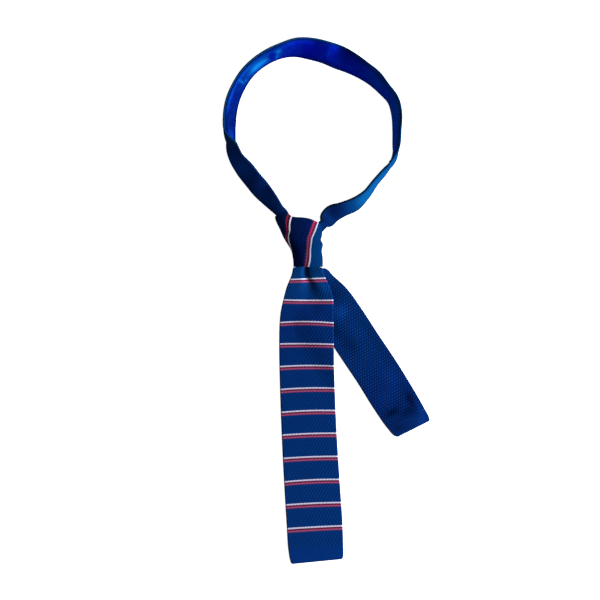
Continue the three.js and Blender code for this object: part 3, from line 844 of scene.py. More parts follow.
class Wire:
    """A socket of a material's nodes that can be used in sums."""

    def __init__(self, shader: "Shader", socket: bpy.types.NodeSocket) -> None:
        """Keeps the socket and the shader that it belongs to."""
        self.shader = shader
        self.socket = socket

    def sum(self, operation: str, *values: Any) -> "Wire":
        """Adds a Math node.

        Args:
            operation: the node's operation.
            values: its inputs, in order, as numbers or wires.

        Returns:
            Its result.
        """
        return self.shader.node(
            "ShaderNodeMath", {"operation": operation}, dict(enumerate(values))
        )

    def __add__(self, other: Any) -> "Wire":
        """Returns this plus the other."""
        return self.sum("ADD", self, other)

    __radd__ = __add__

    def __sub__(self, other: Any) -> "Wire":
        """Returns this less the other."""
        return self.sum("SUBTRACT", self, other)

    def __rsub__(self, other: Any) -> "Wire":
        """Returns the other less this."""
        return self.sum("SUBTRACT", other, self)

    def __mul__(self, other: Any) -> "Wire":
        """Returns this times the other."""
        return self.sum("MULTIPLY", self, other)

    __rmul__ = __mul__

    def __truediv__(self, other: Any) -> "Wire":
        """Returns this divided by the other."""
        return self.sum("DIVIDE", self, other)

    def __abs__(self) -> "Wire":
        """Returns this without its sign."""
        return self.sum("ABSOLUTE", self)

    def cosine(self) -> "Wire":
        """Returns the cosine of this, in radians."""
        return self.sum("COSINE", self)

    def rounded(self) -> "Wire":
        """Returns the nearest whole number."""
        return self.sum("ROUND", self)

    def step(self, low: float, high: float) -> "Wire":
        """Returns an easy rise from 0 at low to 1 at high, or a fall where low is higher."""
        return self.shader.node(
            "ShaderNodeMapRange",
            {"interpolation_type": "SMOOTHSTEP"},
            {"Value": self, "From Min": low, "From Max": high},
        )


Colour = tuple[float, float, float]


class Shader:
    """One material's nodes, round a single Principled shader."""

    def __init__(self, name: str) -> None:
        """Makes an empty material of that name."""
        self.material = bpy.data.materials.new(name)
        self.material.use_nodes = True
        self.tree = self.material.node_tree
        self.tree.nodes.clear()
        self.surface = self.tree.nodes.new("ShaderNodeBsdfPrincipled")
        output = self.tree.nodes.new("ShaderNodeOutputMaterial")
        self.tree.links.new(self.surface.outputs["BSDF"], output.inputs["Surface"])

    def node(
        self,
        kind: str,
        settings: Mapping[str, Any] | None = None,
        inputs: Mapping[Any, Any] | None = None,
        output: Any = 0,
    ) -> Wire:
        """Adds a node.

        Args:
            kind: its type.
            settings: its own settings, set first.
            inputs: values or wires for its sockets, by name or number.
            output: the socket that is read, by name or number.

        Returns:
            That socket.
        """
        made = self.tree.nodes.new(kind)
        for name, value in (settings or {}).items():
            setattr(made, name, value)
        for name, value in (inputs or {}).items():
            self.feed(made.inputs[name], value)
        return Wire(self, made.outputs[output])

    def feed(self, socket: bpy.types.NodeSocket, value: Any) -> None:
        """Links a wire to a socket, or sets its value."""
        if isinstance(value, Wire):
            self.tree.links.new(value.socket, socket)
        elif socket.type == "RGBA" and len(value) == 3:
            socket.default_value = (*value, 1.0)
        else:
            socket.default_value = value

    def finish(self, **sockets: Any) -> bpy.types.Material:
        """Sets the Principled shader's sockets, named with underscores for spaces."""
        for name, value in sockets.items():
            self.feed(self.surface.inputs[name.replace("_", " ")], value)
        return self.material

    def mix(self, share: Any, first: Any, second: Any, blend: str = "MIX") -> Wire:
        """Returns the colour part of the way from the first to the second."""
        return self.node(
            "ShaderNodeMix",
            {"data_type": "RGBA", "blend_type": blend},
            {"Factor": share, 6: first, 7: second},
            output=2,
        )

    def tinted(self, colour: Any, tint: Any) -> Wire:
        """Returns the colour, multiplied by the tint."""
        return self.mix(1.0, colour, tint, "MULTIPLY")

    def bump(self, height: Wire, strength: float, distance: float) -> Wire:
        """Returns normals that follow a height, whose full range is a distance in metres."""
        return self.node(
            "ShaderNodeBump",
            None,
            {"Height": height, "Strength": strength, "Distance": distance},
        )

    def ramp(self, place: Wire, stops: Sequence[tuple[float, Colour]]) -> Any:
        """Returns a colour that eases from stop to stop.

        Args:
            place: a wire of places.
            stops: rising places and their colours.
        """
        colour: Any = stops[0][1]
        for (start, _), (end, following) in zip(stops, stops[1:]):
            colour = self.mix(place.step(start, end), colour, following)
        return colour

    def cloth_place(self) -> tuple[Wire, Wire, Wire]:
        """Reads the piece's cloth map.

        Returns:
            The place across and along the cloth in millimetres, and both as a vector.
        """
        place = self.node("ShaderNodeUVMap", {"uv_map": "cloth"})
        scale = CLOTH_MAP_SIZE / MILLIMETRE
        vector = self.node(
            "ShaderNodeVectorMath",
            {"operation": "MULTIPLY_ADD"},
            {
                0: place,
                1: (scale, scale, 0),
                2: (-CLOTH_MAP_START[0] * scale, -CLOTH_MAP_START[1] * scale, 0),
            },
        )
        across = self.node("ShaderNodeSeparateXYZ", None, {0: vector}, output="X")
        along = Wire(self, across.socket.node.outputs["Y"])
        return across, along, vector

    def noise(self, vector: Wire, scale: float, detail: float, stretch: Colour) -> Wire:
        """Returns noise over a place, from 0 to 1.

        Args:
            vector: the place.
            scale: patches to the unit of length.
            detail: how many finer layers it has.
            stretch: scale of each direction.
        """
        placed = self.node("ShaderNodeMapping", None, {"Vector": vector, "Scale": stretch})
        return self.node(
            "ShaderNodeTexNoise", None, {"Vector": placed, "Scale": scale, "Detail": detail}
        )


STRIPE_PITCH = 24.8
"""Millimetres of cloth from one pair of stripes to the next."""

STRIPE_END_BLEND = 0.1
"""Millimetres over which the striped stretch of a cloth starts and ends."""

HEM_BLEND = 0.6
"""Millimetres to either side of a hem's start over which its stitches fade."""

CRIMSON_RISE = (25.0, 38.0)
"""Millimetres up the knot between which the wrap's pink turns crimson."""

BARE_BLEND = 6.0
# Millimetres over which a cloth's painted edge shade comes in past its bare stretch.
"""Millimetres over which a cloth's dark edges come in past its bare stretch."""

EDGE_SHADE_NAVY = (0.0003, 0.0035, 0.014)
# Painted shade: the colour of the knit where it turns away over an edge.
"""Colour of the knit where it turns over an edge."""


class Stripes(Enum):
    """Where a knitted piece has pairs of a white and a red stripe."""

    NONE = "none"
    BLADE = "blade"
    WRAP = "wrap"


@dataclass(frozen=True)
class PaintedLightPatch:
    """A soft patch of painted light on the cloth, or of painted shade where its strength is below
    0.

    Attributes:
        along: its middle's place along the cloth, in millimetres.
        across: its middle's place across the cloth.
        length: how far along the cloth it spreads.
        width: how far across the cloth it spreads.
        strength: how much brighter its middle is painted.
    """

    along: float
    across: float
    length: float
    width: float
    strength: float

    def light(self, along: Wire, across: Wire) -> Wire:
        """Returns the patch's strength at a place on the cloth."""
        far = (along - self.along) / self.length
        aside = (across - self.across) / self.width
        past = (far * far + aside * aside) * -1
        return past.sum("EXPONENT", past) * self.strength


class Fade(NamedTuple):
    """A change of the stitches' strength, between two places in millimetres.

    Attributes:
        sideways: whether the places are across the cloth, and not along it.
        start: where the change starts.
        end: where it ends.
        before: what the strength is multiplied by at its start.
        after: what it is multiplied by at its end.
    """

    sideways: bool
    start: float
    end: float
    before: float
    after: float

    def factor(self, along: Wire, across: Wire) -> Wire:
        """Returns what the stitches' strength is multiplied by at a place on the cloth."""
        place = across if self.sideways else along
        return self.before + place.step(self.start, self.end) * (self.after - self.before)


@dataclass(frozen=True)
class StripePair:
    """A white stripe and the red one beside it, in millimetres from the pair's own place.

    Attributes:
        white_at: the middle of the white stripe.
        white_half: half its width, outside and inside its soft edge.
        red_at: the middle of the red stripe.
        red_half: half its width, outside and inside its soft edge.
        pink_at: the brightest line of the red stripe.
        pink_half: half that line's width, outside and inside its soft edge.
        wobble: how far the edges follow the stitches.
    """

    white_at: float = 0.07
    white_half: tuple[float, float] = (0.9, 0.58)
    red_at: float = 2.55
    red_half: tuple[float, float] = (2.1, 1.7)
    pink_at: float = 3.3
    pink_half: tuple[float, float] = (1.0, 0.3)
    wobble: float = 0.03


@dataclass(frozen=True)
class KnitFinish:
    """A knit of navy silk, with or without striped courses.

    Attributes:
        name: the material's name.
        deep: the colour between the stitches, partly the yarn's own and partly painted shade in
            the hollows there.
        bright: the yarn's colour on the stitches.
        relief: the lattice of stitches.
        stripes: where it has stripes.
        pair: the width and place of the stripes.
        hem_at: the place along the cloth where a smooth hem starts, if it has one.
        contrast: how strongly the stitches stand out in colour, painted shade included.
        fades: where on the cloth that changes.
        edge: how far from its middle the cloth turns over edges that get painted shade, if it
            does.
        edge_shades: distances to that line where the painted shade starts and is full, and its
            depth.
        bare: the middle and half the length of a stretch without this painted edge shade.
        colour_and_shade_tints: places along the cloth, and what the knit's colour is multiplied
            by there, which sets its own colour and paints light and shade on it.
        painted_light_patches: soft spots of painted light and shade, where the knit is brighter
            or darker.
        white_colour_and_shade: places along the cloth, and the white stripes' colour there, with
            painted light and shade where it changes.
        red: the red stripes' edges.
        pink: the middle of the red stripes.
        crimson: what that turns into towards the top of the knot.
    """

    name: str
    deep: Colour = (0.00012, 0.0019, 0.0125)
    bright: Colour = (0.0007, 0.0190, 0.082)
    relief: KnitRelief = KnitRelief()
    stripes: Stripes = Stripes.NONE
    pair: StripePair = StripePair()
    hem_at: float = 1000.0
    contrast: float = 1.0
    fades: tuple[Fade, ...] = ()
    edge: float = 0.0
    edge_shades: tuple[tuple[float, float, float], ...] = ((9.5, 1.5, 0.3), (3.2, 1.6, 0.35))
    bare: tuple[float, float] = (0.0, 0.0)
    colour_and_shade_tints: tuple[tuple[float, Colour], ...] = ((0.0, (1.0, 1.0, 1.0)),)
    painted_light_patches: tuple[PaintedLightPatch, ...] = ()
    white_colour_and_shade: tuple[tuple[float, Colour], ...] = ((0.0, (0.118, 0.118, 0.155)),)
    red: Colour = (0.027, 0.0026, 0.0090)
    pink: Colour = (0.069, 0.0150, 0.036)
    crimson: Colour = (0.105, 0.0060, 0.022)

    def material(self) -> bpy.types.Material:
        """Builds the material."""
        shader = Shader(self.name)
        across, along, place = shader.cloth_place()
        a, b = self.relief.phases(across, along)
        stitch = self.relief.stitch(a, b, Wire.cosine)
        plain = along.step(self.hem_at - HEM_BLEND, self.hem_at + HEM_BLEND)
        wear = shader.noise(place, scale=0.09, detail=3.0, stretch=(1, 1, 1))
        fibre = shader.noise(place, scale=3.2, detail=2.0, stretch=(1.0, 0.45, 1))
        crisp = (wear.step(0.35, 0.65) * 0.8 + 0.5) * (1 - plain) * self.contrast
        for fade in self.fades:
            crisp = crisp * fade.factor(along, across)
        raised = stitch * 0.5 * crisp + 0.5
        tone = (raised * 0.4 + 0.1) * (0.8 + wear * 0.4) + plain * 0.1
        # Darker between the stitches: partly the yarn's own colour, partly painted shade in the
        # hollows.
        colour = shader.mix(tone, self.deep, self.bright)
        # Painted light and shade along the cloth, together with the knit's own colour.
        colour = shader.tinted(colour, shader.ramp(along, self.colour_and_shade_tints))
        # Painted light and shade: soft spots where the knit is brighter or darker.
        if self.painted_light_patches:
            light = sum(patch.light(along, across) for patch in self.painted_light_patches)
            colour = shader.tinted(colour, light + 1)
        # Painted shade where the cloth turns away over its edges.
        if self.edge:
            past = abs(abs(across) - self.edge)
            middle, half = self.bare
            bare = abs(along - middle).step(half, half + BARE_BLEND)
            shade = sum(past.step(start, full) * depth for start, full, depth in self.edge_shades)
            colour = shader.mix(shade * bare, colour, EDGE_SHADE_NAVY)
        if self.stripes is not Stripes.NONE:
            colour = self.striped(shader, colour, across, along, a)
        bump = shader.bump(raised * 0.5 + fibre * 0.35, strength=0.3, distance=0.00035)
        return shader.finish(
            Base_Color=colour, Roughness=0.8, Normal=bump, Specular_IOR_Level=0.0
        )

    def striped(
        self, shader: Shader, colour: Wire, across: Wire, along: Wire, a: Wire
    ) -> Wire:
        """Lays the stripes over the knit's own colour.

        Args:
            shader: the material's shader.
            colour: the knit's colour.
            across: the place across the cloth, in millimetres.
            along: the place along it.
            a: the place across the cloth, in radians of a stitch.

        Returns:
            The colour with its stripes.
        """
        pair, half, sharp = self.pair, STRIPE_PITCH / 2, STRIPE_END_BLEND
        nearest = (along / STRIPE_PITCH).rounded()
        past = along - nearest * STRIPE_PITCH + a.cosine() * pair.wobble
        if self.stripes is Stripes.WRAP:
            past = past * -1
            pink = shader.mix(across.step(*CRIMSON_RISE), self.pink, self.crimson)
            in_range = 1 - along.step(half, half + sharp)
        else:
            pink = self.pink
            in_range = along.step(-half, -half + sharp)
            in_range = in_range * (1 - along.step(self.hem_at, self.hem_at + sharp))
        white = abs(past - pair.white_at).step(*pair.white_half)
        red = abs(past - pair.red_at).step(*pair.red_half)
        centre = abs(past - pair.pink_at).step(*pair.pink_half)
        reds = shader.mix(centre, self.red, pink)
        colour = shader.mix(red * in_range, colour, reds)
        # White stripes, with painted light and shade where their colour changes along the cloth.
        return shader.mix(white * in_range, colour, shader.ramp(along, self.white_colour_and_shade))


@dataclass(frozen=True)
class SatinFinish:
    """A smooth blue satin, with painted highlights and painted shade in its colour.

    Attributes:
        name: the material's name.
        base: the satin's colour.
        painted_gleam: its colour in the brightest spots of painted highlight.
        weave: the threads' pitch in millimetres.
        edge: how far from its middle the painted shade towards its edges starts.
        dark_at: how far from its middle that shade is darkest.
        darkest: how dark it is there.
        colour_and_shade_tints: places along the cloth, and what the colour is multiplied by
            there, which paints light and shade along the lining with its own colour.
        painted_gleams: soft spots of painted highlight, and one of painted shade.
    """

    name: str
    base: Colour = (0.0002, 0.0035, 0.055)
    painted_gleam: Colour = (0.0015, 0.060, 0.190)
    weave: float = 0.25
    edge: float = 6.0
    dark_at: float = 13.0
    darkest: float = 0.5
    colour_and_shade_tints: tuple[tuple[float, Colour], ...] = (
        (150.0, (1.0, 0.5, 0.4)), (190.0, (1.0, 0.6, 0.5)), (225.0, (1.0, 1.0, 0.75)),
        (265.0, (1.0, 0.85, 1.25)), (300.0, (1.0, 0.26, 1.2)), (350.0, (1.5, 0.9, 2.1)),
        (395.0, (2.0, 3.6, 1.8)), (430.0, (2.6, 7.0, 1.8)),
    )
    painted_gleams: tuple[PaintedLightPatch, ...] = (
        PaintedLightPatch(242.0, 2.0, 22.0, 12.0, 0.25),
        PaintedLightPatch(235.0, 0.0, 8.5, 5.5, 0.85),
        PaintedLightPatch(245.0, 0.0, 5.0, 4.0, 0.5),
        PaintedLightPatch(264.5, 5.0, 3.0, 4.0, 0.75),
        PaintedLightPatch(261.0, -4.0, 2.2, 4.0, 0.45),
        PaintedLightPatch(256.0, 1.0, 3.5, 5.0, -0.5),
        PaintedLightPatch(211.0, 3.0, 1.3, 6.0, 0.45),
        PaintedLightPatch(215.0, -3.0, 1.8, 3.0, 0.35),
        PaintedLightPatch(143.0, -2.0, 1.6, 4.0, 0.3),
        PaintedLightPatch(321.0, 1.0, 0.8, 7.0, 0.09),
    )

    def material(self) -> bpy.types.Material:
        """Builds the material."""
        shader = Shader(self.name)
        across, along, place = shader.cloth_place()
        cloud = shader.noise(place, scale=0.12, detail=2.0, stretch=(1, 1, 1))
        thread = (along * (2 * np.pi / self.weave)).cosine()
        colour = shader.mix(cloud, self.base, (0.0003, 0.006, 0.09))
        # Painted light and shade along the lining, together with the satin's own colour.
        colour = shader.tinted(colour, shader.ramp(along, self.colour_and_shade_tints))
        # Painted highlights, with one spot of painted shade, in the satin's colour.
        light = sum(painted_gleam.light(along, across) for painted_gleam in self.painted_gleams)
        # Painted shade towards the satin's edges, which also dims the painted highlights there.
        dark = abs(across).step(self.edge, self.dark_at) * self.darkest
        colour = shader.mix((light + (cloud - 0.5) * 0.1) * (1 - dark), colour, self.painted_gleam)
        colour = shader.mix(dark, colour, (0.0002, 0.003, 0.02))
        crease = shader.noise(place, scale=0.35, detail=1.0, stretch=(1, 0.5, 1))
        bump = shader.bump(thread * 0.06 + crease, strength=0.35, distance=0.0004)
        return shader.finish(
            Base_Color=colour, Roughness=0.46, Metallic=0.8, Normal=bump,
            Specular_IOR_Level=0.0, Specular_Tint=(0.0, 0.12, 0.6),
        )


@dataclass(frozen=True)
class PaleFinish:
    """An even, matt surface that glows a little, so that shadows on it stay faint."""

    name: str
    colour: Colour
    glow: float

    def material(self) -> bpy.types.Material:
        """Builds the material."""
        return Shader(self.name).finish(
            Base_Color=self.colour,
            Roughness=0.9,
            Specular_IOR_Level=0.0,
            Emission_Color=(1.0, 1.0, 1.0),
            Emission_Strength=self.glow,
        )


# Pieces of the tie


def dress(
    piece: bpy.types.Object, material: bpy.types.Material, node: str
) -> bpy.types.Object:
    """Gives a piece its finish, and lets it stand for the part's own solid.

    Args:
        piece: the piece.
        material: its material.
        node: the solid's name.

    Returns:
        The piece.
    """
    piece.data.materials.append(material)
    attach(piece, "root")
    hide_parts(node)
    return piece


TAIL_PAINTED_LIGHT = (
    PaintedLightPatch(40.0, 10.0, 10.0, 9.0, -0.35),
    PaintedLightPatch(62.0, 4.0, 7.0, 8.0, 0.65),
    PaintedLightPatch(72.0, -14.0, 14.0, 8.0, -0.45),
    PaintedLightPatch(98.0, -9.0, 12.0, 8.0, -0.35),
    PaintedLightPatch(90.0, 9.0, 12.0, 8.0, 0.12),
    PaintedLightPatch(110.0, 19.0, 30.0, 5.0, -0.15),
    PaintedLightPatch(152.0, 12.0, 12.0, 9.0, 0.35),
    PaintedLightPatch(166.0, -6.0, 8.0, 12.0, 0.2),
    PaintedLightPatch(185.0, -10.0, 4.0, 8.0, -0.65),
    PaintedLightPatch(183.0, 16.0, 9.0, 4.0, -0.65),
    PaintedLightPatch(193.0, 6.0, 4.0, 8.0, -0.45),
    PaintedLightPatch(198.0, 21.0, 9.0, 4.0, 0.7),
    PaintedLightPatch(209.0, 15.0, 5.0, 7.0, 0.7),
    PaintedLightPatch(204.0, -14.0, 5.0, 8.0, -0.4),
)
# Painted light and shade on the tail: where it lies brighter or darker.
"""Where the tail, as it lies, is brighter or darker."""


@dataclass(frozen=True)
class TailBlade:
    """The narrow blade, which comes out from under the front one."""

    width: float = 49.0
    reach: float = 213.0
    angle: float = 32.7
    settled_at: float = 0.13
    cover_from: float = -34.0
    cover_full: float = -1.0
    hem: float = 14.0
    row_step: float = 0.55
    relief: KnitRelief = KnitRelief(wale=3.05, course=6.0, lean=0.55, rows=0.7, turn=6.0)

    @property
    def down(self) -> Array:
        """Direction along the blade."""
        return heading(self.angle - 90)

    @property
    def right(self) -> Array:
        """Direction to its right."""
        return heading(self.angle)

    def read(self, along: Array) -> tuple[TailRow, Array, Array, Array]:
        """Reads the tail at shares of its reach.

        Args:
            along: the shares.

        Returns:
            Its table's row, and its half width, level and thickness.
        """
        row = TAIL_CURVE(along)
        settled = smoothstep(along, 0, self.settled_at)
        half = lerp(
            KNOT.gathered_tail / 2, row.width * self.width / 2,
            smoothstep(along, 0.01, 0.045),
        )
        level = lerp(KNOT.tail_level, 0, settled)
        return row, half, level, lerp(CLOTH.gathered, CLOTH.knit, settled)

    def cover_level(self, points: Array) -> Array:
        """Returns how far the tail lifts what is laid over it at points."""
        row, half, level, thickness = self.read(points @ self.down / self.reach)
        inside = half - np.abs(points @ self.right - row.side * self.reach)
        share = smoothstep(inside, self.cover_from, self.cover_full)
        return share * (level + thickness + CLOTH.seat_gap)

    def ribbon(self, share: Array) -> Ribbon:
        """Lays the tail's middle out.

        Args:
            share: shares across it, a value for each column.

        Returns:
            The ribbon, from its join inside the knot to its end.
        """
        inside = np.linspace(0, 1, 8)[:-1]
        joint = KNOT.place(KNOT.join_across, KNOT.join_up)
        first_across = heading(self.angle + TAIL_ROWS[0].skew)
        inner_middle = joint * (1 - inside[:, None])
        inner_across = unit(lerp(heading(-KNOT.join_slant), first_across, inside[:, None]))
        inner_half = lerp(KNOT.gathered_neck, KNOT.gathered_tail, inside) / 2
        along = rows_to_hem(self.reach, self.row_step)
        row, half, level, thickness = self.read(along)
        middle = along[:, None] * self.reach * self.down
        middle = middle + (row.side * self.reach)[:, None] * self.right
        middle = np.concatenate([inner_middle, middle])
        across = np.concatenate([inner_across, heading(self.angle + row.skew)])
        half = np.concatenate([inner_half, half])
        level = np.concatenate([np.full_like(inside, KNOT.tail_level), level])
        thickness = np.concatenate([np.full_like(inside, CLOTH.gathered), thickness])
        distance = np.concatenate([(inside - 1) * np.linalg.norm(joint), along * self.reach])
        points = spread(middle, across, share, half - thickness * CLOTH.edge_share)
        points[..., 2] = (level + thickness / 2)[:, None]
        ended = rounded_ends(thickness, self.reach - distance, HEM_ROUNDING)
        return Ribbon.face_up(points, across, ended, distance)

    def build(self) -> bpy.types.Object:
        """Builds and dresses the tail blade."""
        columns = StripColumns(self.width)
        ribbon = self.ribbon(columns.layout()[0])
        hem = self.reach - self.hem

        def relief(across: Array, along: Array) -> Array:
            """Returns the stitches' rise, which ends at the throat and at the hem."""
            shown = smoothstep(along, -4, 8) * (1 - smoothstep(along, hem - 1, hem + 1))
            return self.relief.rise(across, along) * shown

        piece = strip_skin("tail_blade_knit", ribbon, columns, relief)
        finish = KnitFinish(
            "Navy knit of the tail", relief=self.relief, hem_at=hem, contrast=2.2,
            # Tints along the tail: the knit's own colour, and painted shade that darkens it
            # towards its end.
            colour_and_shade_tints=(
                (50.0, (1.2, 0.71, 0.84)), (115.0, (1.2, 0.65, 0.81)),
                (160.0, (1.1, 0.49, 0.71)), (200.0, (1.0, 0.42, 0.58)),
            ),
            painted_light_patches=TAIL_PAINTED_LIGHT,
        )
        dress(piece, finish.material(), "tail_blade")
        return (piece, self.width * MILLIMETRE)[0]


@dataclass(frozen=True)
class FrontBlade:
    """The wide striped blade, from its turn over the knot's mouth to its hem."""

    width: float = 60.8
    reach: float = 324.3
    angle: float = 1.84
    dimple_start: float = 0.2
    dimple_spread: float = 0.42
    dimple_aside: float = -0.17
    first_stripe: float = 13.0
    first_gap: float = 23.5
    gap_growth: float = 0.24
    gather_height: float = 0.1
    gather_pitch: float = 5.2
    settled_at: float = 0.1
    cover_blend: float = 0.8
    hem: float = 16.0
    throat_half: float = 12.4
    row_step: float = 0.54
    tail: TailBlade = TailBlade()
    relief: KnitRelief = KnitRelief(lean=0.74, rows=0.15, height=0.04)

    def cloth_along(self, distance: Array) -> Array:
        """Returns the place along the cloth at distances from the throat, in millimetres.

        Pairs of stripes lie further apart towards the hem, where the knit is less drawn in:
        each gap is longer than the one before by the same growth.
        """
        gap, growth = self.first_gap, self.gap_growth
        below = np.maximum(distance, 0) - self.first_stripe
        count = (np.sqrt(gap**2 + 2 * growth * below) - gap) / growth
        return count * STRIPE_PITCH + np.minimum(distance, 0)

    def drape(self, distance: Array, share: Array) -> Array:
        """Returns how far down the blade its cloth has slipped, in millimetres.

        Args:
            distance: distances from the throat.
            share: shares across the blade.
        """
        row = DRAPE_CURVE(distance)
        return row.shift + row.tilt * share + row.bow * share**2

    def turn(self, share: Array) -> Ribbon:
        """Lays out the turn over the mouth's back edge.

        Args:
            share: shares across it, a value for each column.

        Returns:
            The ribbon, which starts on the table and ends over the knot's layers.
        """
        axis = KNOT.place(KNOT.turn_across, KNOT.turn_up)
        across, outward = heading(KNOT.turn_slant), heading(KNOT.turn_slant + 90)
        lowest = CLOTH.knit / 2
        radius = (KNOT.turned_level + CLOTH.gathered / 2 - lowest) / 2
        reach = KNOT.turn_width / 2 - CLOTH.gathered * CLOTH.edge_share
        line = axis + across * (share * reach)[:, None]
        back = KNOT.mouth_back(line[:, 0])
        length = (line[:, 1] - back - CLOTH.seat_gap - KNOT.rim_room) / outward[1]
        angle = np.radians(np.linspace(-90, 90, 25))
        cosine, sine = np.cos(angle)[:, None, None], np.sin(angle)[:, None, None]
        flat = KNOT.turn_flatness
        round_turn = line[None] + outward * (flat * radius * cosine)
        round_turn = round_turn + UP * (lowest + radius + radius * sine)
        legs = [
            line - outward * (length * part)[:, None] + UP * lowest for part in (1.0, 0.66, 0.33)
        ]
        points = np.concatenate([np.stack(legs), round_turn])
        turned = unit(outward * cosine + UP * sine * flat)
        normals = np.concatenate([np.broadcast_to(-UP, (len(legs), 1, 3)), turned])
        thickness = lerp(CLOTH.knit, CLOTH.gathered, (np.degrees(angle) + 90) / 180)
        return Ribbon(
            middles=points,
            normals=np.broadcast_to(normals, points.shape),
            outwards=np.broadcast_to(across, points.shape),
            thickness=np.concatenate([np.full(len(legs), CLOTH.knit), thickness]),
            along=np.zeros(len(points)),
        )

    def inside(self, share: Array) -> Ribbon:
        """Lays out the blade inside the sleeve.

        Args:
            share: shares across it, a value for each column.

        Returns:
            The ribbon, from the turn down to the throat.
        """
        axis = KNOT.place(KNOT.turn_across, KNOT.turn_up)
        height = np.linspace(KNOT.turn_up, 0.02, 27)
        part = height / KNOT.turn_up
        across = heading(KNOT.turn_slant * part)
        half = lerp(KNOT.gathered_blade, KNOT.turn_width, part) / 2
        half = lerp(self.throat_half, half, smoothstep(height, 0.02, 0.12))
        low = smoothstep(height, 0, KNOT.depth_grown_at)
        level = lerp(KNOT.crossing_level, KNOT.turned_level, low)
        depth = lerp(KNOT.throat_dimple, 0, low)
        reach = half - CLOTH.gathered * CLOTH.edge_share
        points = spread(axis * part[:, None], across, share, reach)
        rise = self.dimple(share[None], 0, depth[:, None], 0.0)
        points[..., 2] = level[:, None] + rise + CLOTH.gathered / 2
        thickness = np.full(len(height), CLOTH.gathered)
        return Ribbon.face_up(points, across, thickness, np.zeros(len(height)))

    def dimple(self, share: Array, valley: Any, depth: Any, along: Any) -> Array:
        """Finds the height of the gathers beside the dimple, which opens out downwards.

        Args:
            share: shares across the blade.
            valley: where the dimple runs.
            depth: the gathers' full height.
            along: shares of the way down the blade.
        """
        width = lerp(self.dimple_start, self.dimple_spread, smoothstep(along, 0.03, 0.1))
        valley = valley + self.dimple_aside * (1 - smoothstep(along, 0.02, 0.06))
        return depth * (1 - bell(share, valley, width))

    def below(self, share: Array) -> Ribbon:
        """Lays out the blade below the throat, over the tail and on the table.

        Args:
            share: shares across it, a value for each column.

        Returns:
            The ribbon, from the throat to the hem.
        """
        along = rows_to_hem(self.reach, self.row_step)
        row = BLADE_CURVE(along)
        settled = smoothstep(along, 0, self.settled_at)
        thickness = lerp(CLOTH.gathered, CLOTH.knit, settled)
        across = heading(self.angle + row.skew)
        down, right = heading(self.angle - 90), heading(self.angle)
        middle = along[:, None] * self.reach * down
        middle = middle + (row.side * self.reach)[:, None] * right
        half = lerp(self.throat_half, row.width * self.width / 2, smoothstep(along, 0, 0.002))
        points = spread(middle, across, share, half - thickness * CLOTH.edge_share)
        distance = (along * self.reach)[:, None]
        depth = (np.maximum(row.dimple, 0) * KNOT.dimple_depth)[:, None]
        free = (np.maximum(row.lift, 0) * KNOT.crossing_level)[:, None]
        free = free + self.dimple(share[None], row.valley[:, None], depth, along[:, None])
        cover = self.tail.cover_level(points)
        blend = self.cover_blend * smoothstep(cover, 0, 2)
        level = (free + cover + np.hypot(free - cover, blend)) / 2
        points[..., 2] = level + (thickness / 2)[:, None]
        ended = rounded_ends(thickness, (1 - along) * self.reach, HEM_ROUNDING)
        cloth = self.cloth_along(distance - self.drape(distance, share))
        return Ribbon.face_up(points, across, ended, cloth)

    def ribbon(self, share: Array) -> Ribbon:
        """Joins the blade's turn, its stretch inside the sleeve and its stretch below."""
        parts = [self.turn(share), self.inside(share), self.below(share)]
        middles = np.concatenate([part.middles for part in parts])
        hidden = len(parts[0].along) + len(parts[1].along)
        column = int(np.argmin(np.abs(share)))
        steps = np.linalg.norm(np.diff(middles[: hidden + 1, column], axis=0), axis=-1)
        before = -np.cumsum(steps[::-1])[::-1]
        start = parts[2].along[:1]
        return Ribbon(
            middles=middles,
            normals=np.concatenate([part.normals for part in parts]),
            outwards=np.concatenate([part.outwards for part in parts]),
            thickness=np.concatenate([part.thickness for part in parts]),
            along=np.concatenate([before[:, None] + start, parts[2].along]),
        )

    def build(self) -> bpy.types.Object:
        """Builds and dresses the front blade."""
        columns = StripColumns(self.width)
        ribbon = self.ribbon(columns.layout()[0])
        hem = float(self.cloth_along(np.array(self.reach - self.hem)))
        start = float(self.cloth_along(np.array(0.0)))

        def relief(across: Array, along: Array) -> Array:
            """Returns the rise of the stitches, and of the gathers below the throat."""
            shown = smoothstep(along, 1, 9)
            shown = shown * (1 - smoothstep(along, hem - 1, hem + 1))
            drawn = 1 - smoothstep(along, start + 3, start + 11)
            gathers = np.cos(2 * np.pi * across / self.gather_pitch) * smoothstep(across, 2, 6)
            gathers = self.gather_height * drawn * gathers
            return self.relief.rise(across, along) * shown + gathers

